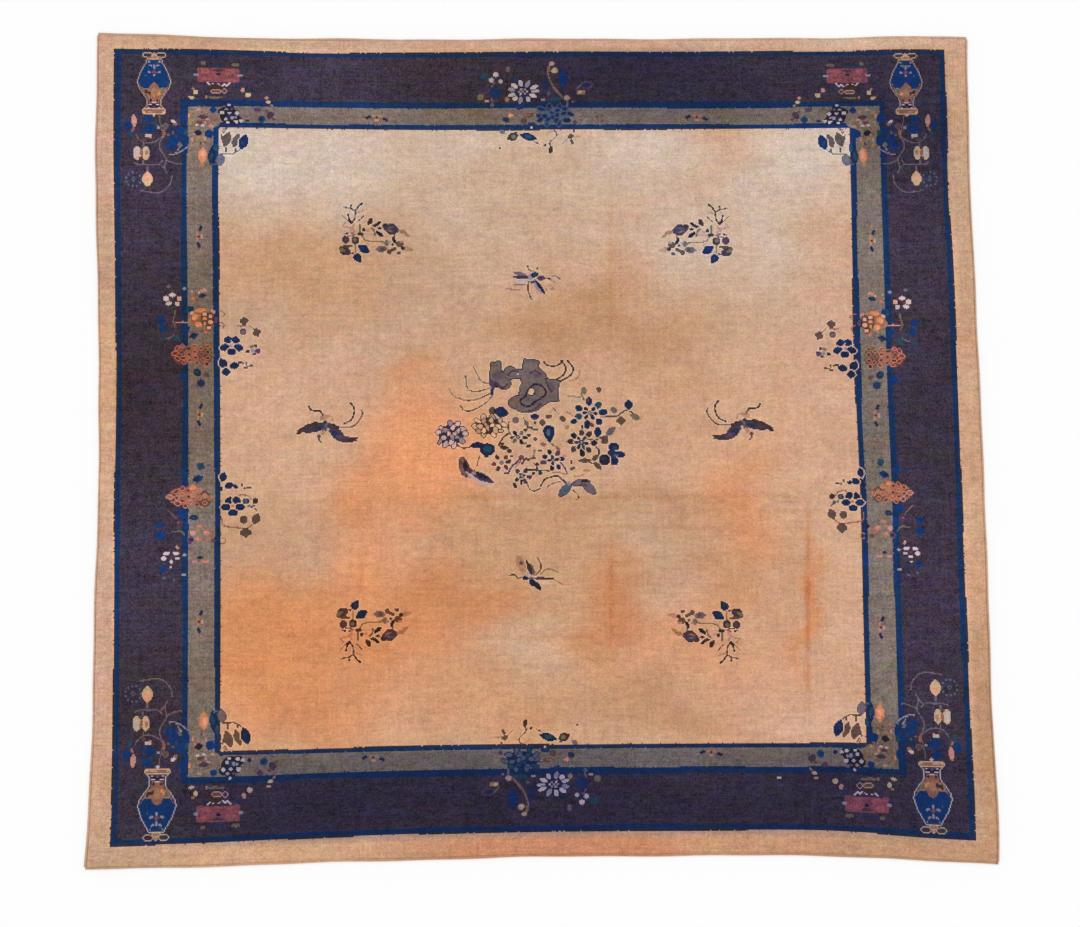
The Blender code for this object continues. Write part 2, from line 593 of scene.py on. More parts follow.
# The sprays' places are counted from the corner of the rug
UPPER_SPRAY_FORMS = table("""
kind right up long wide yarn heading edge
oval 66.5 522 6 5 white -20
oval 72.5 525.5 6 4 white
oval 79 522 5 4.5 peach 40
oval 69 517.5 6 4 white 10
oval 77 517.2 5 4 white -30
oval 70.5 521 2.4 2 maroon
oval 75.5 520.5 2.4 2 ink
lobed 61 502 10 8 royal 160
lobed 63 493.5 10 8 royal 170
lobed 88.5 511.5 10 8 teal 200
oval 90 512 5 4 royal
leaf 83 504 8 5 dusk
lobed 84.5 494 9 9 royal 100
oval 75.5 484.5 6 6 teal
oval 75 492.5 3 5 plum
leaf 62 482.5 9 3 teal 15
oval 75 509 3 5 olive
oval 69 533.5 3 4 vine
oval 84 531.5 4 2.4 lilac
oval 91 529 2 3 pink
oval 93 523 7 5 rust 20
oval 92 522 4 3 coral
oval 102 530 7 3 pink 10
oval 98 528 3 2 peach
leaf 101 525 9 4 dusk 10
oval 95 503 13 15 rust
oval 106 503 14 15 brown
oval 105 493 9 6 rust 20
oval 99 511 10 4.4 orange 5
oval 106 511 5 3.4 tan
oval 111 510 5 3 pink -30
oval 94 504.5 7 6 orange 20
oval 92.5 503.5 4 3 peach 20
oval 88.5 501 3.6 6 tan
oval 91 508.5 4 2.4 peach 30
oval 97 497.5 7 5 orange -20
oval 96 497 3 2 peach
oval 103 507.5 5.4 3.4 peach -30 umber
oval 103 503.2 4.4 3.4 orange 0 brown
oval 108.6 505.6 3.6 3.4 peach 0 brown
oval 108.5 500 5 4.4 peach 20 umber
oval 103 498.6 3 3 orange
oval 107 494.5 5 3 peach 10 umber
oval 102.5 493.5 3 2.4 tan
oval 104 490.5 4 2.2 coral
oval 113.6 502 4 6 violet 0 ink
leaf 92.5 487 9 5.4 navy 18
leaf 94 486 5 2 teal 18
oval 81 468.6 18 17 maroon
oval 74.6 469.6 8 7 maroon
oval 92 469 18 17 rust
oval 103 469 14 18 brown
oval 74.4 470.4 5 3 maroon 20 coral
oval 76.4 475 4 2.6 maroon 40 coral
oval 77 465.4 4 2.6 maroon -30 coral
oval 81.5 477.4 4 2.4 rose 0 coral
oval 81 471.4 3.6 2.6 maroon 20 rust
oval 82 466 3.6 2.4 umber 0 coral
oval 83 461.6 4.4 2 maroon 0 coral
oval 87 475 3.4 3 umber 0 rust
oval 88 469.4 3.4 3 maroon 30 coral
oval 88.4 464 3.4 2.6 brown 0 coral
oval 93.4 477.4 4 2 brown 0 coral
oval 93.6 472 3 2.6 maroon 0 coral
oval 94 466.6 3.4 2.6 maroon -20 coral
oval 95.4 461.4 4 2.4 brown 10 coral
oval 99.4 475 3.4 2.6 brown 0 coral
oval 99.6 469.6 2.8 2.8 maroon 0 rust
oval 100.6 464.4 3 2.6 maroon 0 coral
oval 105.4 477 4 2.4 brown 20 coral
oval 105.6 471.6 3 3 umber 0 tan
oval 105.6 466 3 2.6 umber 0 coral
oval 108.8 469 2 4 olive
oval 104.6 460.4 3.6 3.6 umber 30 coral
leaf 95.5 452.5 9 6.4 navy -35
leaf 95 453 6 3 teal -35
oval 99 442.5 7 6.4 dusk 0 slate
oval 100 442 3 3 royal
lobed 82.5 448.5 9 9 royal 100
leaf 104.5 450 6 5 brown -40
lobed 140 501.5 9 9 brown 90
oval 139 491 6.4 6.4 brown
oval 139 490.4 4 3.4 vine
lobed 152 490 9.4 8 brown -75
oval 124.4 483 8 7 navy 30 halo
oval 132 483 8 7 navy -30 halo
oval 121.6 476 9 7 navy 10 halo
oval 134.6 476 9 7 navy -10 halo
oval 128 472 9 6.4 navy 0 halo
oval 121.4 478 4 3 royal
oval 134 477 4 3 royal
oval 128 484 5 2.4 royal
oval 127.4 477.4 3 3 lilac
oval 147 477 5 3 olive 10
oval 150.6 477.6 3 3 plum
oval 143 472.4 4.4 3.4 umber 20
oval 152.6 472.8 5.4 5 violet
oval 148 473 4.4 4 lilac
oval 149.4 469.8 4 2.6 plum
leaf 120 461 11 8 navy -62 halo
leaf 122.6 453 9 7.4 navy 8 halo
leaf 130.4 459 10 7 navy 12 halo
leaf 135.6 462 5 2.6 umber 30
oval 138.6 461.4 2.6 2 brown
oval 141.6 461.4 2 3.4 umber
oval 141 457 4 2.6 brown 10
oval 146.5 459 3 2.4 maroon
""")
UPPER_SPRAY_STROKES = table("""
yarn width points
pink 1.1 75,499 82,500 88,499
olive 1.2 75,507 73,500 76,494
rust 1.1 116,511 120,510 122,507 119,505
rust 1.1 117,500 121,498 120,494
rust 1.2 133,497 137,496 140,497
umber 1.3 145,497 148,494 150,493
rust 1.1 141,496 141,500
brown 1.1 141,462 142,459 145,459
vine 1.1 66,484 72,486 74,489
""")

LOWER_SPRAY_FORMS = table("""
kind right up long wide yarn heading edge
lobed 99 365 8 8 teal 60
leaf 96 353.5 11 6.4 royal 18
leaf 94 353 6 3.4 navy 18
oval 106 366 3.4 3 slate
lobed 83 359 10 9 royal 160
oval 76 357 6 5 dusk
oval 86 361 4 3 ink
oval 79 336.6 20 16 rust
oval 72 336.6 10 7 maroon
oval 91 338 18 19 rust
oval 102 334.6 14 15 brown
leaf 70.4 336.6 6 3.4 rust 0 pink
oval 76 341.4 4 3 maroon 30 coral
oval 76.4 335.6 3.6 2.4 maroon 0 pink
oval 77.4 330.6 4.4 3.4 maroon -20 pink
oval 81.6 344.4 4 2.4 maroon 20 coral
oval 81.6 338.8 3.4 2.6 rust 0 coral
oval 82 333 3.6 2.8 maroon 0 coral
oval 84.6 328.4 3.6 2.4 umber 0 coral
oval 87 342.6 3.4 2.6 maroon 0 coral
oval 91.4 345 6 3.4 orange 10 coral
oval 87.4 336.8 3 3 umber 0 coral
oval 92 339 4.6 3.4 tan 20 coral
oval 89 331.6 4 2.8 rust 0 coral
oval 97.4 342.4 4 4 tan 30 coral
oval 97.4 335.4 4 3.4 rust 0 coral
oval 95 329.6 4.4 2.4 brown 0 coral
oval 102.4 337.4 3.4 3.4 tan 0 coral
oval 102.4 331 3.4 2.8 brown 0 coral
oval 107 335.4 3 3.6 rust 0 coral
oval 99.6 327.6 3.6 1.8 coral
lobed 81 322 11 9 royal 160
leaf 92.4 317.4 9 5.4 navy 8
leaf 92.4 317.4 5 2.4 teal 8
oval 79 312 6 6 plum
oval 78 313 3 2.6 rose
oval 86 309 5 8 royal
lobed 61 311 10 6.4 royal
lobed 62 301 12 8.4 royal
leaf 89 296.6 8.4 6.4 violet 80
oval 90 297 4 3 navy
oval 91.4 303.4 5 4.4 pink 20
oval 97.6 309.4 6 3.6 coral 20
oval 96 305 4 2.6 tan
oval 104 303.4 7 4.4 coral
oval 103.4 304 3.4 2 pink
oval 96 297.6 6 4.4 tan
oval 95.4 298 3 2.4 orange
oval 102 296.4 4 3 rust
oval 108.6 301 4.4 5.4 rust
oval 110 296 4 4 brown
oval 114.6 305 4.4 3.4 ink
oval 67 284.4 6 3.6 white 15
oval 75.6 284.6 6 3.4 white -10
oval 64.4 280 5 3.6 white
oval 77 280 4 3 pale
oval 71.5 277 4 3 white
oval 71 272.4 3 2 pale
oval 71 281 2.4 2.4 maroon
oval 77 290 3 3.4 pink 30
oval 83.6 283.4 4 2.4 lilac
lobed 64 270 9 7 royal
oval 76 267 7 5 dusk
oval 83 265 4.4 3 lilac
oval 65 262 3 2.4 slate
oval 74 260 3 2.4 slate
leaf 98 280.6 6 2.6 navy
oval 93.4 277 4.4 3 pink
oval 103 277 5.4 2.8 coral
leaf 119.6 355 10 7 navy 75 halo
oval 125 347 8 6.4 navy 30 halo
leaf 131 346 7 3.4 navy -10
oval 118 344 2.6 4.6 ink
oval 137 347.6 2.6 4 brown
oval 139.6 344.4 2.6 2.4 brown
leaf 143.4 345 6 2.6 brown 5
oval 125 333 8.4 6.8 navy 30 halo
oval 132 333.4 8 6.8 navy -30 halo
oval 121.6 327 9 6.6 navy 0 halo
oval 135.4 327 9 6.6 navy 0 halo
oval 128.6 321.8 9.4 6.4 navy 0 halo
oval 121.4 327 4 2.4 royal
oval 128.6 321.6 5 2.2 royal
oval 128.6 328 3.6 3 coral
oval 140.6 332.4 6.4 5.6 dusk
oval 140.6 332.6 3.4 2.6 slate
oval 149.4 332.6 5.6 6 umber
oval 143.4 328 3 3 olive
oval 147.4 328 3 3 olive
leaf 149.4 325 4 2 brown -50
oval 138.6 315.4 7.4 8 brown
leaf 150 316 11 8.6 brown 62
lobed 140.4 303 11 11 brown -90
""")
LOWER_SPRAY_STROKES = table("""
yarn width points
rust 1.3 118,317 119,311 124,309 133,308 138,307
rust 1.3 138,307 143,308 147,311
rust 1.2 131,336 135,338 140,338 143,337 146,333
tan 1.1 118,298 121,298 121,294 118,294
umber 1.2 143,329 147,326
vine 1.1 68,325 73,320 77,316
olive 1.1 72,304 80,305 84,301
plum 1.1 70,281 75,281
""")

MIDDLE_SPRAY_FORMS = table("""
kind right up long wide yarn heading edge
oval -36 22 12 12 dusk
oval -35 22 7 7 royal
oval -13 8 8 5 royal
oval -18 34 8 7 dusk
oval 11 30 9 13 dusk
oval 28 36 10 20 dusk
oval 28 35 7 14 royal
oval 51 29 12 8 violet 10
oval 50 29 8 5 dusk 10
oval -10 23 25 19 dusk
oval -25 15.4 4.6 4.4 tan
oval -35.4 39.6 5.6 4.4 white 0 plum
oval -39.6 34.4 4.4 4.4 pale 0 plum
oval -31 33 3.4 3.4 pale
oval -35 35 3 3 royal
oval -44 14 4 3 pink
oval -46 38 8 7 teal
oval -24 45 4 6 vine
oval -39 10 4 4.4 slate
oval -50 18 7 6 olive
oval 17.4 50 4.4 5 sandy -30 umber
oval 20 43.4 6 5 cream 20 brown
oval 22 44 3 3 clay
oval 14.6 46 3 4 rust
oval 45 22 9 4.4 tan 8
oval 44 22.4 4 2.4 cream 8
oval 36 25 8 5 umber
oval 31.6 16.6 6 4.4 sandy 0 brown
oval 37 13.4 3 2 rust
oval 14.4 21 4 3 slate 20
oval 9.4 15 4.4 3 lilac
oval 21 15 11 5 teal 5
oval 34.6 -4 3 3.4 pink
oval 39 -7 5 3.4 violet
oval 43 0 4 2.4 tan
oval -14 6 3 3 umber
oval -4 0 13 4 brown 4
oval -6 0 6 2.4 rust
oval 2 0.4 4 2 clay
oval -9 -6 7 7 brown
oval -21.6 -0.4 7 6 rust
oval -21.6 0 4.4 3.4 peach
oval -26 -4.4 7 5 dusk -20
oval -24 -5 3 2 teal
oval -34 -6 5 3 olive
oval -2 -9 8 4.4 dusk
oval -2 -12.4 3 2 pale
oval -29.4 -16 6 4 vine -20
leaf -19.6 -21 12 8 umber 20
oval -19 -20.6 5 4 olive
oval -16.4 -16.6 3 2 plum 20
leaf -5 -21 17 7.4 navy -16 halo
oval -5 -21 7 4 teal -10
leaf 3 -27 7 2 brown -25
oval 10.8 -29.4 3 2.4 ink
leaf 16 -34 8 5 umber 80
oval 35 -20.6 6 4.4 brown 10
leaf 36 -26 7 3 brown -75
leaf 41 -21.4 9 2 clay
oval 38 -15.4 3 3.4 brown
oval -32 -32 3 2.4 brown 40
""")
MIDDLE_SPRAY_STROKES = table("""
yarn width points
stone 2.6 18,51 14.4,44 15.6,36 19,28 24,21 30,15
umber 1.2 15,42 17,34 21,27
vine 1.1 -36,33 -40,26 -40,18 -38,12
vine 1.4 32,14 32,8
brown 1.3 19,-14 22,-19 19,-23 15,-27 16,-32
brown 1.4 33,-22 30,-25 27,-28
clay 1.1 12,-20 14,-17 19,-15
clay 1.1 22,-19 25,-18
plum 1.1 -40,25 -46,22 -52,24
olive 1.1 40,24 48,32 56,30
""")

# Corner pieces, in knots from the corner of the outer stripe
CORNER_FORMS = table("""
kind right up long wide yarn heading edge
leaf 32 134 17 12 umber 90
leaf 32 133.6 16 10 cream 90
oval 32 132 6 10 peach
oval 32 135 3 4 cream
oval 22.4 107.4 7.4 14 cream
oval 30.6 107.4 7 14 cream
leaf 26.4 106.6 9 3.4 rust 80
oval 22 107 3.4 9 pale 10
oval 31.4 106.4 2.6 6 tan
oval 25.6 112.6 3 2 brown 40
oval 33 89.4 7 3.4 pale
oval 35 91.4 2.4 2.4 orange
oval 29 93.6 4 3 brown 20
lobed 34 82 12 10 royal 180
oval 27.4 84.4 6 6 dusk
lobed 13.4 80 12 8 royal 95
oval 16 88 5 6 teal
lobed 33 72.4 11 8 royal
oval 28 77 5 5 dusk
oval 40.4 78 4 3 teal
leaf 19.4 74 14 5 pink 85
oval 18.4 83 2.4 5 rust 20
oval 47.4 86.4 3 7 rust
oval 42.4 81 3 3 lilac
oval 52 89 4 2.4 vine 30
oval 49 79.4 4 4 brown 0 vine
oval 57 94 13 16 dusk 20
oval 52.4 100 8 8 royal 20
leaf 58 95 15 8 royal 110
oval 54 91 5 5 royal
oval 61.4 84 12 12 dusk -20
oval 63 85 8 8 royal
leaf 67.6 92 17 7 royal 80
oval 54.4 82.4 7 6 dusk
oval 57 104.4 6 4 dusk
oval 59 90 3 4 teal
oval 68.4 86 4 6 teal
oval 62 98 3 5 vine 20
oval 56 86 3 3 slate
oval 66 78 4 4 navy
lobed 66.4 72 15 8 royal 85
oval 60.4 69 5 6 dusk
leaf 56.4 75 7 3 white 20
oval 58.4 77.4 4 3 rust
oval 80 90 17 26 mixed
oval 78 72 16 18 mixed
oval 92 72 18 18 mixed
oval 79 92 4 4 tan
oval 74 99 4 3 tan
oval 82 103 4 3 rust
oval 86 92 3 4 clay
oval 76 88 3 3 clay
oval 74 93 3 4 pink
oval 82 82 5 3 olive
oval 92 79 4 3 clay
oval 98 72 3 5 rust
oval 87 64 5 3 tan
oval 80 62 4 3 clay
oval 83 97 4 3 teal
oval 72 76 3 4 tan
oval 71 69 3 4 orange
oval 97 64 4 3 olive
oval 75 82 3.4 3 rust
oval 73 65 4 3.4 tan
oval 88 83 3.4 3 tan
oval 84 97 3 3 tan
oval 90 76 3 3 rust
leaf 83.4 117 8 3.4 tan 90
leaf 84 109 17 8.6 orange 92
oval 84.4 108 4 9 peach
leaf 93 108 22 7.4 navy -82
leaf 92 110 10 3.4 teal -82
oval 96.4 101 4 8 teal
leaf 79.6 86 8 6 ink 10
leaf 90 87 10 9 royal 70
oval 78.4 78 3 2.4 white
oval 84 78.6 4 2 white
oval 86 75.6 2 4 pink
oval 88 72 4 2.4 pink
oval 79.4 71.4 3 2 tan
leaf 81 75.4 7 3.4 maroon 5
leaf 84 69.8 10 4.4 plum 5
oval 93.4 62.6 6.4 6 royal
oval 139.4 71.4 7 7 teal
oval 139 71.4 4 4 royal
oval 135.6 61.4 6.4 5 violet
oval 126 73 3.2 3.2 navy
oval 147.4 67 6.4 8 plum 30
oval 144.4 63.4 4 3 brown
oval 150.6 71 4 3 brown
oval 109 67.4 18 19 ink
oval 104 64 12 9 ink
oval 116 73 10 9 ink
oval 110 70 8 7 dusk
oval 102 65 3.6 4.2 pale
oval 105.6 71.6 3.4 2.8 pale 20
oval 107.6 75 3 2.4 white
oval 111.4 70.4 3.2 4 lilac
oval 115.4 74.4 4.2 2.8 white 20
oval 120 73.4 3.6 3.6 pale
oval 109 65.4 3.4 2.8 pale
oval 116 65.4 4 4 pale
oval 114.6 69.6 2.8 2.4 lilac
oval 106 61.6 3.2 2.6 lilac
oval 114.6 60.6 3 3.6 vine
oval 108.4 57.4 3 2.6 pale
oval 111.4 61.4 2.4 2.4 slate
oval 77 44.4 4.4 5 cream
oval 73 50 5.4 3 cream 10
oval 74.6 41 2.4 3 tan
oval 87 49.4 3 4 tan
oval 126.4 46.4 5.8 4.6 cream -20
oval 121.4 41.4 4 4.8 pink 20
oval 133 44 3 3 dusk
oval 145.4 53.4 4.4 3.6 cream
oval 144 49 3.2 3 pink
oval 149 57 3 2.4 tan
leaf 94.4 49.4 16 2.4 olive
bar 98.6 54 20 2.4 navy
oval 100.6 113.6 6.4 11 vine 10 brown
leaf 106.6 92.4 17 8.6 brown -72 halo
leaf 115.4 93.6 16 7.4 brown -70 halo
leaf 122.4 95 17 9.4 navy -72 halo
oval 121.6 96.4 3 6 dusk -20
leaf 101.6 90 8 2 brown 80
""")
CORNER_STROKES = table("""
yarn width points
vine 1.2 25,145 34,147 44,147 50,143 54,137 55,131
vine 1.2 51,128 48,122 50,114 47,108 44,103 44,96 46,92
vine 1.1 48,122 44,119
vine 1.1 20,117 24,119 34,119 42,119 46,115
vine 1.1 21,88 25,94 32,97 40,95 45,91
vine 1.1 46,92 46,84 44,76 43,69
rust 1.1 46,84 48,88 46,92
vine 1.1 49,114 54,116 60,118 64,118
lilac 1.1 52,108 58,108 64,105 69,101
lilac 1.1 58,108 61,103 64,99
vine 1.1 32,126 32,121
vine 1.1 28,118 28,114
vine 1.1 28,100 29,96
slate 1.1 90,115 94,118 99,117
brown 1.2 101,107 107,107 113,107 119,103
brown 1.1 106,106 106,101
brown 1.1 115,106 115,102
brown 1.1 103,87 106,82
rust 1.1 102,86 104,82 107,81
vine 1.1 146,53 150,60 152,64
""")

# Rings of dots of the dotted flower: dots, radius, dot size, yarn
DOT_RINGS = (
    (11, 7.2, 2.2, "slate"),
    (6, 4.4, 2.4, "dusk"),
    (4, 1.6, 1.8, "slate"),
)

# Vase: half width at each height above its foot, in knots, and knots looked at round it
VASE_MARGIN = 20
VASE_WALL = (
    (0, 11.5),
    (6, 11.5),
    (8.5, 7.0),
    (11, 8.0),
    (20, 13.5),
    (30, 17.0),
    (36, 15.5),
    (41, 12.0),
    (46, 8.0),
    (50, 6.6),
    (55, 6.6),
    (59, 10.4),
    (64, 11.4),
)

# Parts of the vase between two heights: low, high, inset from the wall, yarn
VASE_BODY = (8, 58, 0, "plum")
VASE_GLAZES = (
    (32, 52, 1.4, "rust"),
    (9, 32, 0.2, "royal"),
)
VASE_FORMS = table("""
kind right up long wide yarn heading edge
oval -8.4 32 12.6 11 royal
oval 8.4 32 12.6 11 royal
leaf 0 38 15 11 rust -90
leaf 0 41 10 7 tan -90
leaf -8.2 40.6 6 4 umber 50 tan
leaf 8.2 40.2 7 4.4 olive 130 tan
leaf 5 42.4 6 3 orange 120
leaf -4.6 42 5 3 umber 60
oval 0 20 4.4 3.6 rose
oval 0 23.4 3 2.6 lilac
oval -5 20.6 4 2.2 lilac 10
oval 5 20.6 4 2.2 lilac -10
oval 0 15 1.6 5.4 lilac
oval -3.6 13.6 3.6 1.8 lilac 30
oval 3.6 13.6 3.6 1.8 lilac -30
oval -5.6 10 2 2 lilac
oval 5.6 10 2 2 lilac
oval 3 11.6 3.4 3 teal
oval -8.6 24 2 2 slate
oval -7 3 9 4 border 0 cream
oval 7 3 9 4 border 0 cream
oval 0 5.4 8 3 tan 0 cream
oval 0 1.6 4 2.4 pink
oval -5 5.4 3 2 rust
oval -3.4 49.4 2.4 2.6 ink
oval 3.6 49.4 2.4 2.6 ink
bar 0 51.4 4 1.6 white
bar 0 54.6 12 3.6 ink
bar -4 53.6 3 1.2 white
bar 4 53.6 3 1.2 white
oval 0 56 3 1.6 slate
oval -5 56.6 3 1.4 pale -20
oval 5 56.6 3 1.4 pale 20
bar 0 60.6 21.4 3.4 rust 0 cream
bar -4 61 6 1.2 pink
oval -9.6 61.6 2.4 2.4 cream
oval 9.6 61.6 2.4 2.4 cream
leaf 0 64.6 4 3.4 pale 90
""")

# Bowl with its lid, from its middle
BOWL_FORMS = table("""
kind right up long wide yarn heading edge
bar -4 -10.6 16 2 dusk
oval -14 -12 5 3 olive
oval 16 -11 8 4 olive
bar 0 0 36 14 rose
oval -17 4 7 7 rose
oval -17 -4 7 7 rose
oval 17 4 7 7 rose
oval 17 -4 7 7 rose
leaf -20.4 0 6 2.6 lilac
leaf 20.4 0 6 2.6 lilac
oval -12 -4 9 5 brick
oval 11 -3.4 9 6 brick
oval -10 3.6 10 4 brick
oval 10 4.4 9 3 brick
oval 0 -5 10 3 plum
oval 0 -1 4.4 3 ink
oval -3 12.6 14 6 umber
oval -1.6 17 8.6 3 brown 0 pink
oval 6 16.6 3.4 3.4 border 0 pink
oval 19 10 7 4 dusk
oval -18 12 6 4 plum
bar -2 22.6 14 1.6 olive
""")
BOWL_STROKES = table("""
yarn width points
white 1.1 -10,8 -7,11 -5,9 -3,12 0,9 3,12 6,9 8,11 11,8
""")

# Rings of a peony: petals, reach from its middle as a share, and petal length in knots
PEONY_RINGS = (
    (10, 0.86, 6.2),
    (6, 0.52, 5.8),
    (3, 0.20, 4.8),
)

# How far its petals stray: turn in petals, reach, size and own turn in degrees. Then the width of
# a petal and the size of the dark base as shares.
PEONY_STRAY = (-0.25, 0.25)
PEONY_REACH = (0.88, 1.10)
PEONY_SIZE = (0.75, 1.25)
PEONY_TWIST = (-40, 40)
PEONY_WIDTH = 0.62
PEONY_BASE = 0.84

# The same for a blossom, with its height as a share of its width, and its heart
BLOSSOM_STRAY = (-0.2, 0.2)
BLOSSOM_REACH = (0.9, 1.1)
BLOSSOM_SIZE = (0.85, 1.2)
BLOSSOM_HEIGHT = 0.88
BLOSSOM_HEART = ("oval", 0, 0, 2.6, 2.4, "lilac", 0, "umber")

# The middle group's peonies: across, up, turn, long, wide, yarns of the petals and of their
# outlines, seed
PEONIES = (
    (333, 393, 30, 29, 24, ("pale", "white", "lilac"), "dusk", 3),
    (368, 401, 0, 31, 20, ("halo", "cream", "sandy", "cream"), "umber", 5),
)

# A small flower of the border or band: forms round its middle
BAND_FLOWER_FORMS = table("""
kind right up long wide yarn heading edge
leaf -8 1 7 3 navy 20
oval -2 2 4 3 coral
oval 3 2 4 3 coral
oval 0 -2 4 3 pink
oval 0 1 2 2 umber
leaf 8 -1 7 3 navy -20
oval -13 -1 2 2 tan
oval 13 1 2 2 tan
""")

# Where the motifs lie: across, up, turn in degrees, wide and high (minus one mirrors)
SPRIG_PLACES = (
    (264, 587, 0, 1, 1),
    (566, 585, 0, -1, 1),
    (258, 209, 0, 1, -1),
    (567, 205, 0, -1, -1),
)
UPPER_SPRAY_PLACES = (
    (0, 0, 0, 1, 1),
    (831, -5, 0, -1, 1),
)
LOWER_SPRAY_PLACES = (
    (0, 0, 0, 1, 1),
    (824.5, 0, 0, -0.93, 1),
)
# Middle sprays: across, up, turn, yarns of the blue flower's petals and of their outlines
MIDDLE_SPRAY_PLACES = (
    (414, 700, 0, ("navy", "royal", "dusk"), "slate"),
    (414, 90, 180, ("slate", "teal", "slate"), "navy"),
)

# Flowers of the middle sprays, placed from the spray's middle. Rings of the daisy: petals, reach,
# petal length, petal width, yarns
DAISY_PLACE = (-10, 23, 0, 1, 0.86)
DAISY_SEED = 21
DAISY_RINGS = (
    (11, 11.6, 7.2, 4.4, ("pale", "white", "lilac")),
    (6, 3.4, 3.4, 2.6, ("pale", "lilac")),
)
BLUE_FLOWER_PLACE = (19, 0)
BLUE_FLOWER_SIZE = (34, 20)
BLUE_FLOWER_SEED = 13

BIRD_PLACES = (
    (219, 405, 0, 1, 1),
    (603, 405, 0, -1, 1),
)
CORNER_PLACES = (
    (18, 23, 0, 1, 1),
    (18, 762, 0, 1, -0.945),
    (809, 762, 0, -1, -0.945),
    (809, 23, 0, -1, 1),
)
TOP_INSECT_PLACES = ((412, 542.6),)
LOW_INSECT_PLACES = ((405, 256.7),)

# Places inside each corner piece, and the single white spot on the lower border
DOT_RINGS_PLACE = (19, 134)
BOWL_PLACE = (98, 26.4)
VASE_FOOT = 4
LONE_SPOT = ("oval", 631, 72, 4, 3, "white")

# Yarns that have a pale rim where they lie in the field
RIMMED_YARNS = ("navy", "teal", "royal", "dusk", "ink", "violet", "umber", "plum", "brown")

# Vases of the corners: places across, share of their full width, yarn of their outline
VASE_PLACES = (
    (42, 1.0, "pale"),
    (38, 0.90, "sandy"),
    (40, 0.92, "sandy"),
    (38, 1.0, "pale"),
)
BAND_FLOWER_PLACES = (
    (266, 697, 0, 1, 1),
    (568, 697, 0, 1, 1),
    (258, 94, 0, 1, 1),
    (569, 95, 0, 1, 1),
    (99, 581, 90, 1, 1),
    (98, 413, 90, 1, 1),
    (98, 222, 90, 1, 1),
    (732, 576, 90, 1, 1),
    (731, 409, 90, 1, 1),
    (729, 211, 90, 1, 1),
)
ROCK_PLACE = (403, 437)
ROCK_REACH = 45

# Tones that wear, washing and dirt give to each part of the rug, from 0 to 255
FIELD_TONES = {
    "plain": (205, 161, 130),
    "white": (215, 199, 186),
    "pale": (203, 176, 153),
    "sand": (205, 169, 139),
    "rose": (210, 167, 142),
    "blush": (213, 169, 140),
    "grey": (195, 159, 132),
    "tan": (197, 150, 112),
    "soil": (186, 139, 102),
    "amber": (202, 130, 82),
    "orange": (215, 137, 84),
    "glow": (234, 153, 102),
    "peach": (219, 154, 114),
}
BORDER_TONES = {
    "plain": (57, 49, 63),
    "light": (68, 58, 75),
    "dark": (38, 34, 54),
    "brown": (56, 44, 50),
}
MARGIN_TONES = {
    "plain": (204, 162, 132),
    "cream": (212, 180, 156),
    "pink": (206, 165, 145),
    "sand": (212, 166, 130),
    "amber": (200, 134, 99),
    "soil": (180, 136, 104),
    "grey": (192, 158, 130),
}

# Soft patches of those tones, in knots
FIELD_PATCHES = table("""
tone across up reach rise strength
white 137 645 50 40 1.6
white 222 656 62 36 1.5
pale 302 630 48 38 1.7
pale 348 598 28 46 0.9
pale 410 668 40 24 1.4
white 330 672 40 20 0.7
pale 457 617 34 46 1.0
pale 395 622 60 46 0.9
rose 424 596 22 30 0.5
white 514 656 46 34 1.2
white 559 568 40 36 0.6
pale 575 610 50 30 0.8
white 674 655 44 40 1.8
white 635 602 26 54 0.9
pale 650 560 44 60 0.8
rose 686 530 24 50 0.7
sand 160 606 40 16 0.8
tan 174 545 38 22 1.4
tan 226 582 66 18 0.8
soil 176 548 28 14 1.0
grey 160 500 56 26 1.1
tan 230 520 40 14 0.6
grey 297 579 40 22 0.8
grey 306 520 46 40 1.3
soil 446 508 36 22 2.2
soil 509 486 46 14 1.3
tan 560 503 40 16 0.9
grey 560 512 44 24 0.8
blush 150 430 46 46 1.2
rose 232 460 42 26 0.8
blush 165 365 46 30 1.0
amber 306 446 28 11 0.7
glow 296 364 42 46 1.9
glow 332 345 26 36 0.8
orange 250 325 22 26 0.9
glow 246 267 24 40 1.0
orange 181 231 50 40 1.5
orange 162 186 60 48 1.9
glow 128 150 24 30 0.6
orange 283 202 50 40 1.7
orange 210 148 46 28 0.8
peach 250 128 50 22 0.7
amber 320 240 60 26 1.0
amber 362 231 24 16 2.4
amber 474 222 24 40 1.9
tan 410 262 60 44 0.9
orange 610 330 24 40 1.0
peach 604 344 34 50 0.7
orange 661 225 7 60 0.8
orange 572 252 28 26 0.7
blush 662 350 34 40 1.6
soil 534 462 40 18 1.0
tan 554 424 32 24 0.7
blush 600 424 60 44 1.0
soil 440 327 200 7 1.0
tan 430 308 120 22 0.8
grey 500 300 40 22 0.7
grey 535 273 42 38 1.0
soil 560 274 30 24 0.7
tan 163 308 40 16 1.0
grey 142 282 38 22 1.1
grey 205 295 32 22 0.8
tan 348 288 30 36 0.8
sand 405 200 46 28 1.0
tan 384 148 60 28 1.1
peach 362 148 44 30 1.0
soil 526 142 50 26 1.2
peach 600 160 70 36 0.6
rose 590 146 46 26 0.8
peach 540 190 50 26 0.8
rose 662 134 46 34 1.1
rose 690 470 24 90 0.9
blush 696 250 20 90 1.0
""")
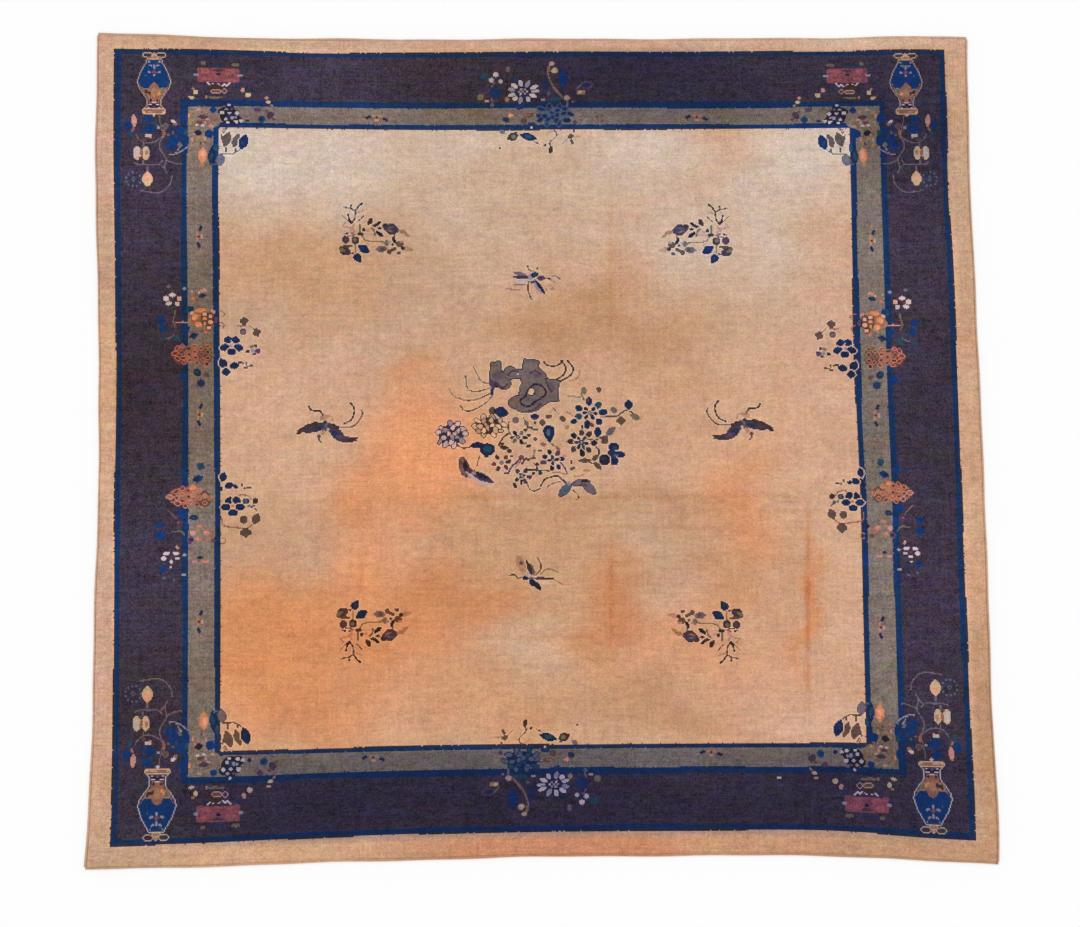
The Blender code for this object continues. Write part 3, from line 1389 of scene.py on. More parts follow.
BORDER_PATCHES = table("""
tone across up reach rise strength
light 60 640 60 80 0.9
brown 60 440 60 100 1.2
light 60 280 60 90 1.0
brown 60 170 60 40 0.8
light 230 740 70 40 0.8
dark 520 735 90 40 0.8
brown 350 735 50 40 0.7
light 760 560 50 90 0.5
dark 770 690 60 50 0.6
light 765 250 50 90 0.6
dark 250 50 110 50 1.8
dark 420 45 100 50 2.4
dark 640 50 130 50 1.5
brown 330 30 60 12 0.8
light 560 66 60 14 0.5
""")
MARGIN_PATCHES = table("""
tone across up reach rise strength
pink 8 660 26 80 1.2
grey 8 560 26 40 0.8
sand 8 420 26 80 1.0
pink 8 230 26 90 1.0
grey 20 10 50 26 1.0
sand 200 10 90 26 1.3
amber 440 10 110 26 3.4
sand 560 10 50 26 0.7
soil 690 10 100 26 0.7
amber 640 4 30 12 0.8
soil 300 2 40 10 0.8
soil 822 120 26 90 1.1
sand 822 260 26 70 0.7
grey 822 640 26 60 0.7
pink 420 770 170 26 0.8
pink 560 770 60 26 0.6
grey 180 770 80 26 0.8
cream 700 770 90 26 0.8
""")
PLAIN_STRENGTH = 0.45

# Frames in which the field's and the border's tones hold, left, foot, right and head, and the
# knots over which they turn into the next
FIELD_FRAME = (116, 104, 712, 686)
FIELD_BLEND = 6.0
STRIPE_FRAME = (18, 23, 809, 762)
STRIPE_BLEND = 2.0

# Slow waves of the pile: height in metres, knots over which they start at the edge, tone, and
# how much closer the waves of tone lie, across and up
WAVE_HEIGHT = 0.0003
WAVE_EDGE = 24.0
WAVE_TONE = 0.02
WAVE_TONE_PACE = (2.1, 2.3)

# Their two bent waves: knots to a radian, how far the wave bends, and knots to a radian of bends
LEVEL_WAVE = (47.0, 1.3, 61.0)
UPRIGHT_WAVE = (53.0, 0.8, 39.0)

# Straight waves: height, knots to a radian across and up, and start in radians. One is the third
# of the pile's waves, the others bend the soft patches of wear, in knots.
SLANTING_WAVE = (0.5, 19.0, 23.0, 2.0)
PATCH_SWAY = (
    (9.0, math.inf, 23.0, 0.0),
    (7.0, 29.0, 11.0, 0.0),
)
PATCH_RISE = (
    (8.0, 31.0, math.inf, 1.0),
    (6.0, 13.0, -37.0, 0.0),
)

# Fold creases: from across, up, to across, up, in knots, and depth of the trough in metres
CREASES = (
    (274, 334, 669, 332, 0.0006),
    (422, 305, 608, 304, 0.0004),
    (464, 477, 534, 477, 0.0003),
    (306, 204, 528, 202, 0.0004),
    (663, 330, 659, 138, 0.0012),
    (487, 641, 484, 477, 0.0005),
    (480, 302, 478, 181, 0.0007),
    (248, 285, 247, 230, 0.0003),
    (430, 196, 620, 195, 0.0003),
    (150, 548, 330, 560, 0.0003),
    (640, 470, 642, 360, 0.0003),
    (180, 330, 300, 334, 0.0003),
)

# Reach of a trough in knots, the gains of the painted shade along it, and the depth at which they
# hold in full
CREASE_REACH = 2.4
CREASE_SHADE_GAINS = (0.86, 0.68, 0.54)
CREASE_FULL_DEPTH = 0.0009

# How a crease bends and fades: sway in knots, bends, share of the sway that it takes, soft ends,
# and how much and how often it breaks
CREASE_SWAY = 2.5
CREASE_BENDS = 9.0
CREASE_LEAN = 0.3
CREASE_END = 0.02
CREASE_FADE = 0.4
CREASE_BREAKS = 0.2
CREASE_BREAK_COUNT = 31.0

# Blocks that a crease crosses are split into smaller cells
CREASE_CELL = 2
CREASE_BLOCK_REACH = 6.0
CREASE_SEEN = 0.12

# Finish of the wool
WOOL_FINISH = (
    ("Roughness", 0.95),
    ("Specular IOR Level", 0.08),
    ("Sheen Weight", 0.03),
    ("Sheen Roughness", 0.6),
)

# Unevenness of the wool, from weft, grain, blotches, warp and clouds: stretch across and up,
# scale, detail, roughness, and strength as a share of the yarn's mottle and of its own
WOOL_NOISES = (
    ((0.018, 0.62, 0.0), 1.0, 3.0, 0.6, 1.9, 0.08),
    (None, 0.42, 2.0, 0.6, 2.2, 0.06),
    ((0.12, 0.19, 0.0), 1.0, 1.0, 0.5, 1.6, 0.16),
    ((0.40, 0.02, 0.0), 1.0, 2.0, 0.5, 0.9, 0.10),
    (None, 0.05, 4.0, 0.6, 0.9, 0.20),
)
KNOT_SHADE = 1.9
FIBRE_NOISE = (1400.0, 2.0, 0.5)
FIBRE_SHADE = (0.3, 0.08)

# How far the red, green and blue of a fully mottled yarn stray, and the noise that leads them
HUE_REACH = (2.0, 2.2, 3.2)
HUE_NOISE = ((0.035, 0.10, 0.0), 1.0, 5.0, 0.7)

# The same for slow stains, and the mottle past which they grow no more
STAIN_REACH = (1.6, 3.0, 4.6)
STAIN_NOISE = ((0.013, 0.027, 0.0), 1.0, 4.0, 0.6)
STAIN_LIMIT = 0.18

# Tufts: height of each knot's dome, of its fluff and of its own level, and the bump they give
TUFT_DOME = 0.9
TUFT_FLUFF = 0.8
TUFT_LEVEL = 0.25
BUMP_STRENGTH = 0.5
BUMP_DISTANCE = 0.0012

# Wool of the edges and the back
EDGE_COLOUR = (203, 164, 134)
EDGE_MOTTLE = 0.10
EDGE_TUFT = 0.3

# The mesh: knots in a block, and in the frame round all blocks that the rim fills
BLOCK = 8

# Insets and heights of the rim's rings, in metres
RIM_HEIGHTS = (
    (EDGE_WIDTH, 0.0044),
    (EDGE_WIDTH + 0.25 * PILE_SHOULDER, 0.0074),
    (EDGE_WIDTH + 0.60 * PILE_SHOULDER, 0.0086),
    (EDGE_WIDTH + PILE_SHOULDER, PILE_TOP),
)

# Shares of two sides' directions at the three points round each corner of a ring
CORNER_TURNS = ((1.0, 0.41), (0.93, 0.93), (0.41, 1.0))

# Overcast cord: pitch of its wraps in metres, its ends in knots, sides, slant and bulge
WRAP_PITCH = 0.0042
CORD_END = 2.5
CORD_SIDES = 8
WRAP_SLANT = 0.6
WRAP_BULGE = 0.10

# Woven end: knots in a step along it, insets of its ends and of its foot in knots, steps across
# it, ribs, height at its outer side and rise as shares, height of a rib and of its unevenness in
# metres, radians of that to a step along and to a knot across, and gap above the floor in metres
END_STEP = 4
END_INSET = 1.2
END_FOOT = 0.1
END_STEPS = 12
END_RIBS = 4
END_LOW = 0.62
END_RISE = 0.22
END_RIB_HEIGHT = 0.0007
END_JOG = 0.00012
END_JOG_PACE = (1.9, 7.0)
FLOOR_GAP = 0.0001

# Back: knots in a step, and inset from the outline
BACK_STEP = 16
BACK_INSET = 1.2

# Camera and light
CAMERA_AIM = (0.007, -0.068, 0.009)
CAMERA_DISTANCE = 4.47
CAMERA_TILT = 5.0
CAMERA_LENS = 50.0
CAMERA_SENSOR = 36.0
FLOOR_SIZE = 9.0
FLOOR_LEVEL = -0.0005
FLOOR_FINISH = (
    ("Base Color", (0.97, 0.97, 0.97, 1.0)),
    ("Roughness", 0.9),
    ("Specular IOR Level", 0.1),
)
AMBIENT = 0.85
KEY_STRENGTH = 0.75
KEY_ANGLE = 0.35
KEY_PLACE = (-2.6, 2.4, 3.6)


# The weave's place on the floor

def smooth_values(stations, values, places):
    """Read a smooth curve through the values at their stations, at many places."""
    stations = np.asarray(stations, float)
    values = np.asarray(values, float)
    slopes = np.gradient(values, stations)
    slopes[1:-1] = (values[2:] - values[:-2]) / (stations[2:] - stations[:-2])
    last = len(stations) - 2
    index = np.clip(np.searchsorted(stations, places, side="right") - 1, 0, last)
    span = stations[index + 1] - stations[index]
    part = np.clip((places - stations[index]) / span, 0.0, 1.0)
    square = part * part
    cube = square * part
    rise = values[index + 1] - values[index]
    return (values[index] + rise * (3 * square - 2 * cube)
            + slopes[index] * span * (cube - 2 * square + part)
            + slopes[index + 1] * span * (cube - square))


def creep(rows, lines, along, across):
    """Creep in metres at many places: smooth along each line, even between two lines."""
    stations = [row[0] for row in rows]
    curves = np.array([smooth_values(stations, [row[line + 1] for row in rows], along)
                       for line in range(len(lines))])
    lines = np.asarray(lines, float)
    last = len(lines) - 2
    index = np.clip(np.searchsorted(lines, across, side="right") - 1, 0, last)
    part = (across - lines[index]) / (lines[index + 1] - lines[index])
    row = np.arange(len(across))
    return (curves[index, row] * (1 - part) + curves[index + 1, row] * part) / 1000.0


def crept_places(across, up):
    """Coordinates in metres of places in the weave, from the middle of the weave."""
    across = np.asarray(across, float)
    up = np.asarray(up, float)
    x = (across - KNOTS_ACROSS / 2) * KNOT_PITCH
    y = (up - KNOTS_UP / 2) * KNOT_PITCH
    x = x + creep(UPRIGHT_CREEP_MM, UPRIGHT_LINES, up, across)
    y = y + creep(LEVEL_CREEP_MM, LEVEL_LINES, across, up)
    return x, y


def floor_places(across, up):
    """Floor coordinates in metres of places in the weave, from the middle of the outline."""
    x, y = crept_places(across, up)
    return x - MIDDLE[0], y - MIDDLE[1]


def edge_wave(distance):
    """Small unevenness of the outline at distances along it, in metres."""
    total = 0.0
    for length, height, start in EDGE_WAVES:
        total = total + height * np.sin(2 * math.pi * (distance / length + start))
    return total


def ring_stations():
    """Places round the rug where a ring has a point: the grid point inside it, outward direction
    and distance travelled, in knots."""
    low, right, head = BLOCK, KNOTS_ACROSS - BLOCK, KNOTS_UP - BLOCK
    level = range(low, right + 1, BLOCK)
    upright = range(low, head + 1, BLOCK)
    half_way = KNOTS_ACROSS + KNOTS_UP
    sides = (
        ([(column, low) for column in level], (0, -1), 0),
        ([(right, row) for row in upright], (1, 0), KNOTS_ACROSS),
        ([(column, head) for column in reversed(level)], (0, 1), half_way),
        ([(low, row) for row in reversed(upright)], (-1, 0), half_way + KNOTS_ACROSS),
    )
    stations = []
    for number, (points, outward, start) in enumerate(sides):
        for step, point in enumerate(points):
            stations.append((point, outward, start + low + step * BLOCK))
        after = sides[(number + 1) % 4][1]
        distance = start + low + len(points) * BLOCK
        for mine, other in CORNER_TURNS:
            direction = (outward[0] * mine + after[0] * other, outward[1] * mine + after[1] * other)
            stations.append((points[-1], direction, distance))
    return stations


def ring_points(stations, inset):
    """Places in the weave of a ring's points at an inset in metres from the outline."""
    points = np.array([station[0] for station in stations], float)
    directions = np.array([station[1] for station in stations], float)
    travelled = np.array([station[2] for station in stations], float)
    fading = 1 - inset / (BLOCK * KNOT_PITCH)
    reach = BLOCK - (inset + edge_wave(travelled * KNOT_PITCH) * fading) / KNOT_PITCH
    return points + directions * reach[:, None]


def outline_middle():
    """How far the middle of the outline's bounding box lies from the middle of the weave."""
    woven = ring_points(ring_stations(), 0.0)
    x, y = crept_places(woven[:, 0], woven[:, 1])
    return (x.min() + x.max()) / 2, (y.min() + y.max()) / 2


MIDDLE = outline_middle()


# The chart of knots

def yarn(name):
    return YARN_NUMBERS[name]


class Pen:
    """Ties knots on the chart from its own origin, which can be turned, mirrored and stretched."""

    def __init__(self, chart, spot=(0.0, 0.0), axes=((1.0, 0.0), (0.0, 1.0))):
        self.chart = chart
        self.spot = np.array(spot, float)
        self.axes = np.array(axes, float)

    def at(self, right, up, turn=0.0, wide=1.0, high=1.0):
        """A new pen whose origin and axes are given in this pen's."""
        angle = math.radians(turn)
        step = np.array(((math.cos(angle), -math.sin(angle)), (math.sin(angle), math.cos(angle))))
        axes = self.axes @ step @ np.diag((wide, high))
        return Pen(self.chart, self.spot + self.axes @ (right, up), axes)

    def window(self, reach, middle=(0.0, 0.0)):
        """The chart within reach of a place, and its knots' places in this pen's axes."""
        up_count, across_count = self.chart.shape
        spot = self.spot + self.axes @ middle
        left = max(int(spot[0] - reach) - 2, 0)
        right = min(int(spot[0] + reach) + 3, across_count)
        foot = max(int(spot[1] - reach) - 2, 0)
        head = min(int(spot[1] + reach) + 3, up_count)
        across, up = np.meshgrid(np.arange(left, right) + 0.5, np.arange(foot, head) + 0.5)
        back = np.linalg.inv(self.axes)
        across -= self.spot[0]
        up -= self.spot[1]
        x = back[0, 0] * across + back[0, 1] * up
        y = back[1, 0] * across + back[1, 1] * up
        return (slice(foot, head), slice(left, right)), x, y

    def tie(self, where, inside, name, edge=None):
        """Tie the knots that are inside with one yarn, and those round them with the edge's."""
        patch = self.chart[where]
        if edge:
            patch[grown(inside)] = yarn(edge)
        patch[inside] = yarn(name)

    def form(self, kind, right, up, length, width, name, heading=0.0, edge=None):
        """Draw one form with its middle at a place."""
        pen = self.at(right, up, heading)
        where, x, y = pen.window(max(length, width) * WINDOW_SHARE + 1)
        pen.tie(where, covered(kind, x, y, length, width), name, edge)

    def draw(self, forms, strokes=()):
        """Draw a motif from its tables: first its strokes, then its forms."""
        for name, width, *points in strokes:
            self.stroke(name, width, points)
        for row in forms:
            self.form(*row)

    def mass(self, lumps, reach, name, edge):
        """Draw many lumps as one form with one edge."""
        where, x, y = self.window(reach)
        inside = np.zeros(x.shape, bool)
        for kind, right, up, length, width, heading in lumps:
            angle = math.radians(heading)
            along = (x - right) * math.cos(angle) + (y - up) * math.sin(angle)
            aside = (y - up) * math.cos(angle) - (x - right) * math.sin(angle)
            inside |= covered(kind, along, aside, length, width)
        self.tie(where, inside, name, edge)

    def stroke(self, name, width, points):
        """Draw a smooth line through a few points."""
        path = smooth_path(points)
        middle = (path.min(0) + path.max(0)) / 2
        where, x, y = self.window(np.hypot(*(path - middle).T).max() + width, middle)
        inside = np.zeros(x.shape, bool)
        for start, end in zip(path, path[1:]):
            step = end - start
            part = ((x - start[0]) * step[0] + (y - start[1]) * step[1]) / max(step @ step, 1e-9)
            part = np.clip(part, 0.0, 1.0)
            gap = np.hypot(x - start[0] - part * step[0], y - start[1] - part * step[1])
            inside |= gap <= width / 2
        self.tie(where, inside, name)

    def profile(self, low, high, inset, name, edge=None):
        """Draw the part of the vase between two heights."""
        where, x, y = self.window(max(high, VASE_MARGIN) + VASE_MARGIN)
        heights, halves = zip(*VASE_WALL)
        half = np.interp(y, heights, halves) - inset
        self.tie(where, (np.abs(x) <= half) & (y >= low) & (y <= high), name, edge)


def grown(inside):
    """The knots inside, and their neighbours beside, above and below."""
    more = inside.copy()
    more[1:] |= inside[:-1]
    more[:-1] |= inside[1:]
    more[:, 1:] |= inside[:, :-1]
    more[:, :-1] |= inside[:, 1:]
    return more


def covered(kind, x, y, length, width):
    """Which places a form covers. It heads along x."""
    along = 2 * x / length
    aside = 2 * y / width
    if kind == "oval":
        return along ** 2 + aside ** 2 <= 1
    if kind == "bar":
        return (np.abs(along) <= 1) & (np.abs(aside) <= 1)
    if kind == "leaf":
        return np.abs(aside) <= 1 - along ** 2
    if kind == "drop":
        part = np.clip(along / 2 + 0.5, 0, 1)
        return (np.abs(along) <= 1) & (np.abs(aside) <= DROP_WIDTH * np.sqrt(part) * (1 - part))
    if kind == "lobed":
        inside = (np.abs(aside) <= LOBED_TIP * (1 - along)) & (along >= 0) & (along <= 1)
        for back, side, long, wide in LOBES:
            inside |= (along + back) ** 2 / long + (aside - side) ** 2 / wide <= 1
        return inside
    raise ValueError("unknown form: " + kind)


def smooth_path(points, steps=5):
    """Points of a smooth line through a few given ones."""
    given = np.array(points, float)
    if len(given) == 2:
        return given
    before = np.vstack((given[0], given[:-1]))
    after = np.vstack((given[1:], given[-1]))
    slopes = (after - before) / 2
    path = []
    for index in range(len(given) - 1):
        for step in range(steps):
            part = step / steps
            square, cube = part ** 2, part ** 3
            path.append(given[index] * (2 * cube - 3 * square + 1)
                        + slopes[index] * (cube - 2 * square + part)
                        + given[index + 1] * (3 * square - 2 * cube)
                        + slopes[index + 1] * (cube - square))
    path.append(given[-1])
    return np.array(path)


def ragged(chance, count):
    """Steps of one knot along the edge of a band, here and there."""
    runs = chance.random(count // RAGGED_RUN + 2) < RAGGED_RUNS
    slow = np.repeat(runs, RAGGED_RUN)[:count]
    return (slow ^ (chance.random(count) < RAGGED_KNOTS)).astype(int)


def plain_bands():
    """The chart with its margin, stripes, borders and field."""
    chart = np.full((KNOTS_UP, KNOTS_ACROSS), yarn("margin"), np.uint8)
    across, up = np.meshgrid(np.arange(KNOTS_ACROSS), np.arange(KNOTS_UP))
    chance = np.random.default_rng(BAND_SEED)
    for name, left, foot, right, head in BANDS:
        sides = [ragged(chance, KNOTS_UP) for _ in range(2)]
        ends = [ragged(chance, KNOTS_ACROSS) for _ in range(2)]
        inside = ((across >= left + sides[0][up]) & (across < right - sides[1][up])
                  & (up >= foot + ends[0][across]) & (up < head - ends[1][across]))
        chart[inside] = yarn(name)
    return chart


def draw_vase(pen, outline):
    pen.profile(*VASE_BODY, outline)
    for glaze in VASE_GLAZES:
        pen.profile(*glaze)
    pen.draw(VASE_FORMS)


def draw_dots(pen, count, radius, size, name):
    """A ring of dots."""
    for index in range(count):
        angle = 2 * math.pi * index / count
        pen.form("oval", radius * math.cos(angle), radius * math.sin(angle), size, size, name)


def draw_peony(pen, long, wide, lights, dark, seed):
    """A full flower: rings of uneven petals round a curled heart."""
    chance = np.random.default_rng(seed)
    pen.form("oval", 0, 0, long * PEONY_BASE, wide * PEONY_BASE, dark)
    for petals, reach, size in PEONY_RINGS:
        for index in range(petals):
            angle = 360 * (index + chance.uniform(*PEONY_STRAY)) / petals
            far = reach * chance.uniform(*PEONY_REACH) / 2
            right = far * long * math.cos(math.radians(angle))
            up = far * wide * math.sin(math.radians(angle))
            length, width = size * chance.uniform(*PEONY_SIZE, 2)
            turn = angle + chance.uniform(*PEONY_TWIST)
            light = lights[index % len(lights)]
            pen.form("oval", right, up, length, width * PEONY_WIDTH, light, turn, dark)


def draw_blossom(pen, rings, seed, rim="halo"):
    """A flower of separate petals, each with a rim, round a pale heart."""
    chance = np.random.default_rng(seed)
    for petals, reach, length, width, names in rings:
        for index in range(petals):
            angle = 360 * (index + chance.uniform(*BLOSSOM_STRAY)) / petals
            far = reach * chance.uniform(*BLOSSOM_REACH)
            right = far * math.cos(math.radians(angle))
            up = BLOSSOM_HEIGHT * far * math.sin(math.radians(angle))
            long = length * chance.uniform(*BLOSSOM_SIZE)
            pen.form("oval", right, up, long, width, names[index % len(names)], angle, rim)
    pen.form(*BLOSSOM_HEART)


def draw_corner(pen, vase_across, vase_share, vase_outline):
    pen.draw(CORNER_FORMS, CORNER_STROKES)
    for ring in DOT_RINGS:
        draw_dots(pen.at(*DOT_RINGS_PLACE), *ring)
    pen.at(*BOWL_PLACE).draw(BOWL_FORMS, BOWL_STROKES)
    draw_vase(pen.at(vase_across, VASE_FOOT, 0, vase_share), vase_outline)


def draw_middle_spray(pen, lights, dark):
    pen.draw(MIDDLE_SPRAY_FORMS, MIDDLE_SPRAY_STROKES)
    draw_blossom(pen.at(*DAISY_PLACE), DAISY_RINGS, DAISY_SEED, "ink")
    draw_peony(pen.at(*BLUE_FLOWER_PLACE), *BLUE_FLOWER_SIZE, lights, dark, BLUE_FLOWER_SEED)


def draw_each(pen, places, forms, strokes=()):
    """Draw a motif at each of its places."""
    for place in places:
        pen.at(*place).draw(forms, strokes)


def draw_middle_group(pen):
    """The rock with its grass, flowers and butterflies."""
    pen.draw((), BLADE_STROKES)
    rock = pen.at(*ROCK_PLACE)
    rock.mass(ROCK_LUMPS, ROCK_REACH, "rock", "ink")
    rock.draw(ROCK_FORMS)
    rock.draw((), ROCK_STROKES)
    pen.draw((), CENTRE_STROKES)
    for across, up, seed, rings in BLOSSOMS:
        draw_blossom(pen.at(across, up), rings, seed)
    pen.draw(CENTRE_FORMS)
    for across, up, turn, *flower in PEONIES:
        draw_peony(pen.at(across, up, turn), *flower)
    pen.draw(BUTTERFLY_FORMS, BUTTERFLY_STROKES)


def drawn_chart():
    """The whole design."""
    chart = plain_bands()
    pen = Pen(chart)
    draw_each(pen, BAND_FLOWER_PLACES, BAND_FLOWER_FORMS)
    for place, vase in zip(CORNER_PLACES, VASE_PLACES):
        draw_corner(pen.at(*place), *vase)
    draw_each(pen, UPPER_SPRAY_PLACES, UPPER_SPRAY_FORMS, UPPER_SPRAY_STROKES)
    draw_each(pen, LOWER_SPRAY_PLACES, LOWER_SPRAY_FORMS, LOWER_SPRAY_STROKES)
    for across, up, turn, lights, dark in MIDDLE_SPRAY_PLACES:
        draw_middle_spray(pen.at(across, up, turn), lights, dark)
    draw_each(pen, SPRIG_PLACES, SPRIG_FORMS, SPRIG_STROKES)
    draw_each(pen, BIRD_PLACES, BIRD_FORMS, BIRD_STROKES)
    draw_each(pen, TOP_INSECT_PLACES, TOP_INSECT_FORMS, TOP_INSECT_STROKES)
    draw_each(pen, LOW_INSECT_PLACES, LOW_INSECT_FORMS, LOW_INSECT_STROKES)
    draw_middle_group(pen)
    pen.form(*LONE_SPOT)
    dark = np.isin(chart, [yarn(name) for name in RIMMED_YARNS])
    chart[grown(dark) & (chart == yarn("field"))] = yarn("halo")
    return chart


# Creases, waves and wear

def crease_depth(across, up, reach=CREASE_REACH):
    """Depth of the troughs along the fold creases, and how near each place is to one."""
    depth = np.zeros(len(across))
    near = np.zeros(len(across))
    for start_across, start_up, end_across, end_up, deep in CREASES:
        step = np.array((end_across - start_across, end_up - start_up), float)
        part = ((across - start_across) * step[0] + (up - start_up) * step[1]) / (step @ step)
        held = np.clip(part, 0, 1)
        sway = CREASE_SWAY * np.sin(part * CREASE_BENDS + start_across)
        gap = np.hypot(across - start_across - held * step[0],
                       up - start_up - held * step[1] + sway * CREASE_LEAN)
        ends = np.sin(np.clip(held, CREASE_END, 1 - CREASE_END) * math.pi) ** CREASE_FADE
        fade = ends * (1 - CREASE_BREAKS + CREASE_BREAKS * np.sin(part * CREASE_BREAK_COUNT))
        soft = np.exp(-(gap / reach) ** 2) * fade
        depth = np.maximum(depth, deep * soft)
        near = np.maximum(near, soft * deep / CREASE_FULL_DEPTH)
    return depth, near


def bent_wave(wave, along, aside):
    pace, bend, bend_pace = wave
    return np.sin(along / pace + bend * np.sin(aside / bend_pace))


def straight_wave(wave, across, up):
    height, pace_across, pace_up, start = wave
    return height * np.sin(across / pace_across + up / pace_up + start)


def wave_field(across, up):
    """Slow unevenness from -1 to 1: two bent waves and a smaller slanting one."""
    level = bent_wave(LEVEL_WAVE, across, up)
    upright = bent_wave(UPRIGHT_WAVE, up, across)
    slanting = straight_wave(SLANTING_WAVE, across, up)
    return (level * upright + slanting) / (1 + SLANTING_WAVE[0])


def linear(colour):
    """A colour from 0 to 255 as a renderer's linear one."""
    part = np.asarray(colour, float) / 255.0
    return np.where(part <= 0.04045, part / 12.92, ((part + 0.055) / 1.055) ** 2.4)


def toned(tones, patches, across, up):
    """The gains that a part's soft patches give it, against its plain tone."""
    total = np.full(len(across), PLAIN_STRENGTH)
    mixed = total[:, None] * linear(tones["plain"])
    for name, middle, height, reach, rise, strength in patches:
        share = strength * np.exp(-((across - middle) / reach) ** 2 - ((up - height) / rise) ** 2)
        total += share
        mixed += share[:, None] * linear(tones[name])
    return mixed / total[:, None] / linear(tones["plain"])


def beyond(across, up, frame, reach):
    """From 0 inside a frame to 1 at some way outside it."""
    left, foot, right, head = frame
    inside = np.zeros(len(across))
    gap = np.maximum.reduce((left - across, across - right, foot - up, up - head, inside))
    return np.clip(gap / reach, 0, 1)[:, None]


def wear_and_shade_gains(across, up):
    """The gains of wear, washing and painted crease shade at places in the weave. Slow waves bend
    the patches.
    """
    sway = sum(straight_wave(wave, across, up) for wave in PATCH_SWAY)
    rise = sum(straight_wave(wave, across, up) for wave in PATCH_RISE)
    field = toned(FIELD_TONES, FIELD_PATCHES, across + sway, up + rise)
    border = toned(BORDER_TONES, BORDER_PATCHES, across + sway, up + rise)
    margin = toned(MARGIN_TONES, MARGIN_PATCHES, across, up)
    out = beyond(across, up, FIELD_FRAME, FIELD_BLEND)
    edge = beyond(across, up, STRIPE_FRAME, STRIPE_BLEND)
    gains = field * (1 - out) + border * out
    gains = gains * (1 - edge) + margin * edge
    # Painted shade: the wool is darkened along the fold creases
    near = crease_depth(across, up)[1]
    gains *= 1 + near[:, None] * (np.array(CREASE_SHADE_GAINS) - 1)
    waves = wave_field(across * WAVE_TONE_PACE[0], up * WAVE_TONE_PACE[1])
    return gains * (1 + WAVE_TONE * waves[:, None])


# Meshes

def new_mesh(name, points, faces):
    mesh = bpy.data.meshes.new(name)
    mesh.from_pydata([tuple(point) for point in points], [], faces)
    mesh.update()
    thing = bpy.data.objects.new(name, mesh)
    bpy.context.collection.objects.link(thing)
    return thing


def put_attribute(mesh, name, kind, domain, values):
    attribute = mesh.attributes.new(name, kind, domain)
    field = {"FLOAT": "value", "FLOAT_COLOR": "color", "FLOAT_VECTOR": "vector"}[kind]
    attribute.data.foreach_set(field, np.ascontiguousarray(values, np.float32).ravel())


def put_colours(mesh, name, domain, colours):
    solid = np.ones(len(colours))
    put_attribute(mesh, name, "FLOAT_COLOR", domain, np.column_stack((colours, solid)))


def put_woven(mesh, woven):
    """Give a piece's points their places in the weave, and the wear and painted crease shade there.
    """
    level = np.zeros(len(woven))
    put_attribute(mesh, "woven", "FLOAT_VECTOR", "POINT", np.column_stack((woven, level)))
    inside = woven.clip((0, 0), (KNOTS_ACROSS, KNOTS_UP))
    put_colours(mesh, "wear_and_shade", "POINT", wear_and_shade_gains(inside[:, 0], inside[:, 1]))


def put_chart_layout(mesh, woven):
    """Lay the piece out for a texture by its places in the weave."""
    layer = mesh.uv_layers.new(name="OFBake")
    corners = np.empty(len(mesh.loops), np.int32)
    mesh.loops.foreach_get("vertex_index", corners)
    places = woven[corners] / (KNOTS_ACROSS, KNOTS_UP)
    layer.data.foreach_set("uv", np.ascontiguousarray(places, np.float32).ravel())


# The pile's mesh

def block_cells(chart, across, up):
    """Split one block of the chart into rectangles of one yarn: left, foot, right, head, yarn."""
    patch = chart[up:up + BLOCK, across:across + BLOCK]
    if (patch == patch[0, 0]).all():
        middle = np.array([across + BLOCK / 2]), np.array([up + BLOCK / 2])
        creased = crease_depth(*middle, CREASE_BLOCK_REACH)[1] > CREASE_SEEN
        step = CREASE_CELL if creased else BLOCK
        return [(column, row, column + step, row + step, patch[0, 0])
                for row in range(up, up + BLOCK, step)
                for column in range(across, across + BLOCK, step)]
    taken = np.zeros(patch.shape, bool)
    cells = []
    for row, column in np.ndindex(patch.shape):
        if taken[row, column]:
            continue
        name = patch[row, column]
        right = column + 1
        while right < BLOCK and patch[row, right] == name and not taken[row, right]:
            right += 1
        head = row + 1
        while (head < BLOCK and (patch[head, column:right] == name).all()
               and not taken[head, column:right].any()):
            head += 1
        taken[row:head, column:right] = True
        cells.append((across + column, up + row, across + right, up + head, name))
    return cells


def cell_loop(marks, cell):
    """The marked grid points round a cell, anticlockwise from its lower left corner."""
    left, foot, right, head = cell[:4]
    loop = [(column, foot) for column in range(left, right) if marks[foot, column]]
    loop += [(right, row) for row in range(foot, head) if marks[row, right]]
    loop += [(column, head) for column in range(right, left, -1) if marks[head, column]]
    loop += [(left, row) for row in range(head, foot, -1) if marks[row, left]]
    return loop


def grid_run(start, end, marks, number):
    """Numbers of the marked points on the straight run between two grid points."""
    steps = max(abs(end[0] - start[0]), abs(end[1] - start[1]))
    step = (np.sign(end[0] - start[0]), np.sign(end[1] - start[1]))
    run = []
    for count in range(steps + 1):
        column, row = start[0] + step[0] * count, start[1] + step[1] * count
        if marks[row, column]:
            run.append(number[row, column])
    return run


def pile_top(chart):
    """The pile's flat top: its grid points, their marks and numbers, and its faces and yarns."""
    cells = []
    for up in range(BLOCK, KNOTS_UP - BLOCK, BLOCK):
        for across in range(BLOCK, KNOTS_ACROSS - BLOCK, BLOCK):
            cells.extend(block_cells(chart, across, up))
    marks = np.zeros((KNOTS_UP + 1, KNOTS_ACROSS + 1), bool)
    for left, foot, right, head, _ in cells:
        marks[foot, (left, right)] = True
        marks[head, (left, right)] = True
    rows, columns = np.nonzero(marks)
    number = np.full(marks.shape, -1, int)
    number[rows, columns] = np.arange(len(rows))
    faces = [[number[row, column] for column, row in cell_loop(marks, cell)] for cell in cells]
    grid = np.column_stack((columns, rows)).astype(float)
    return grid, marks, number, faces, [cell[4] for cell in cells]


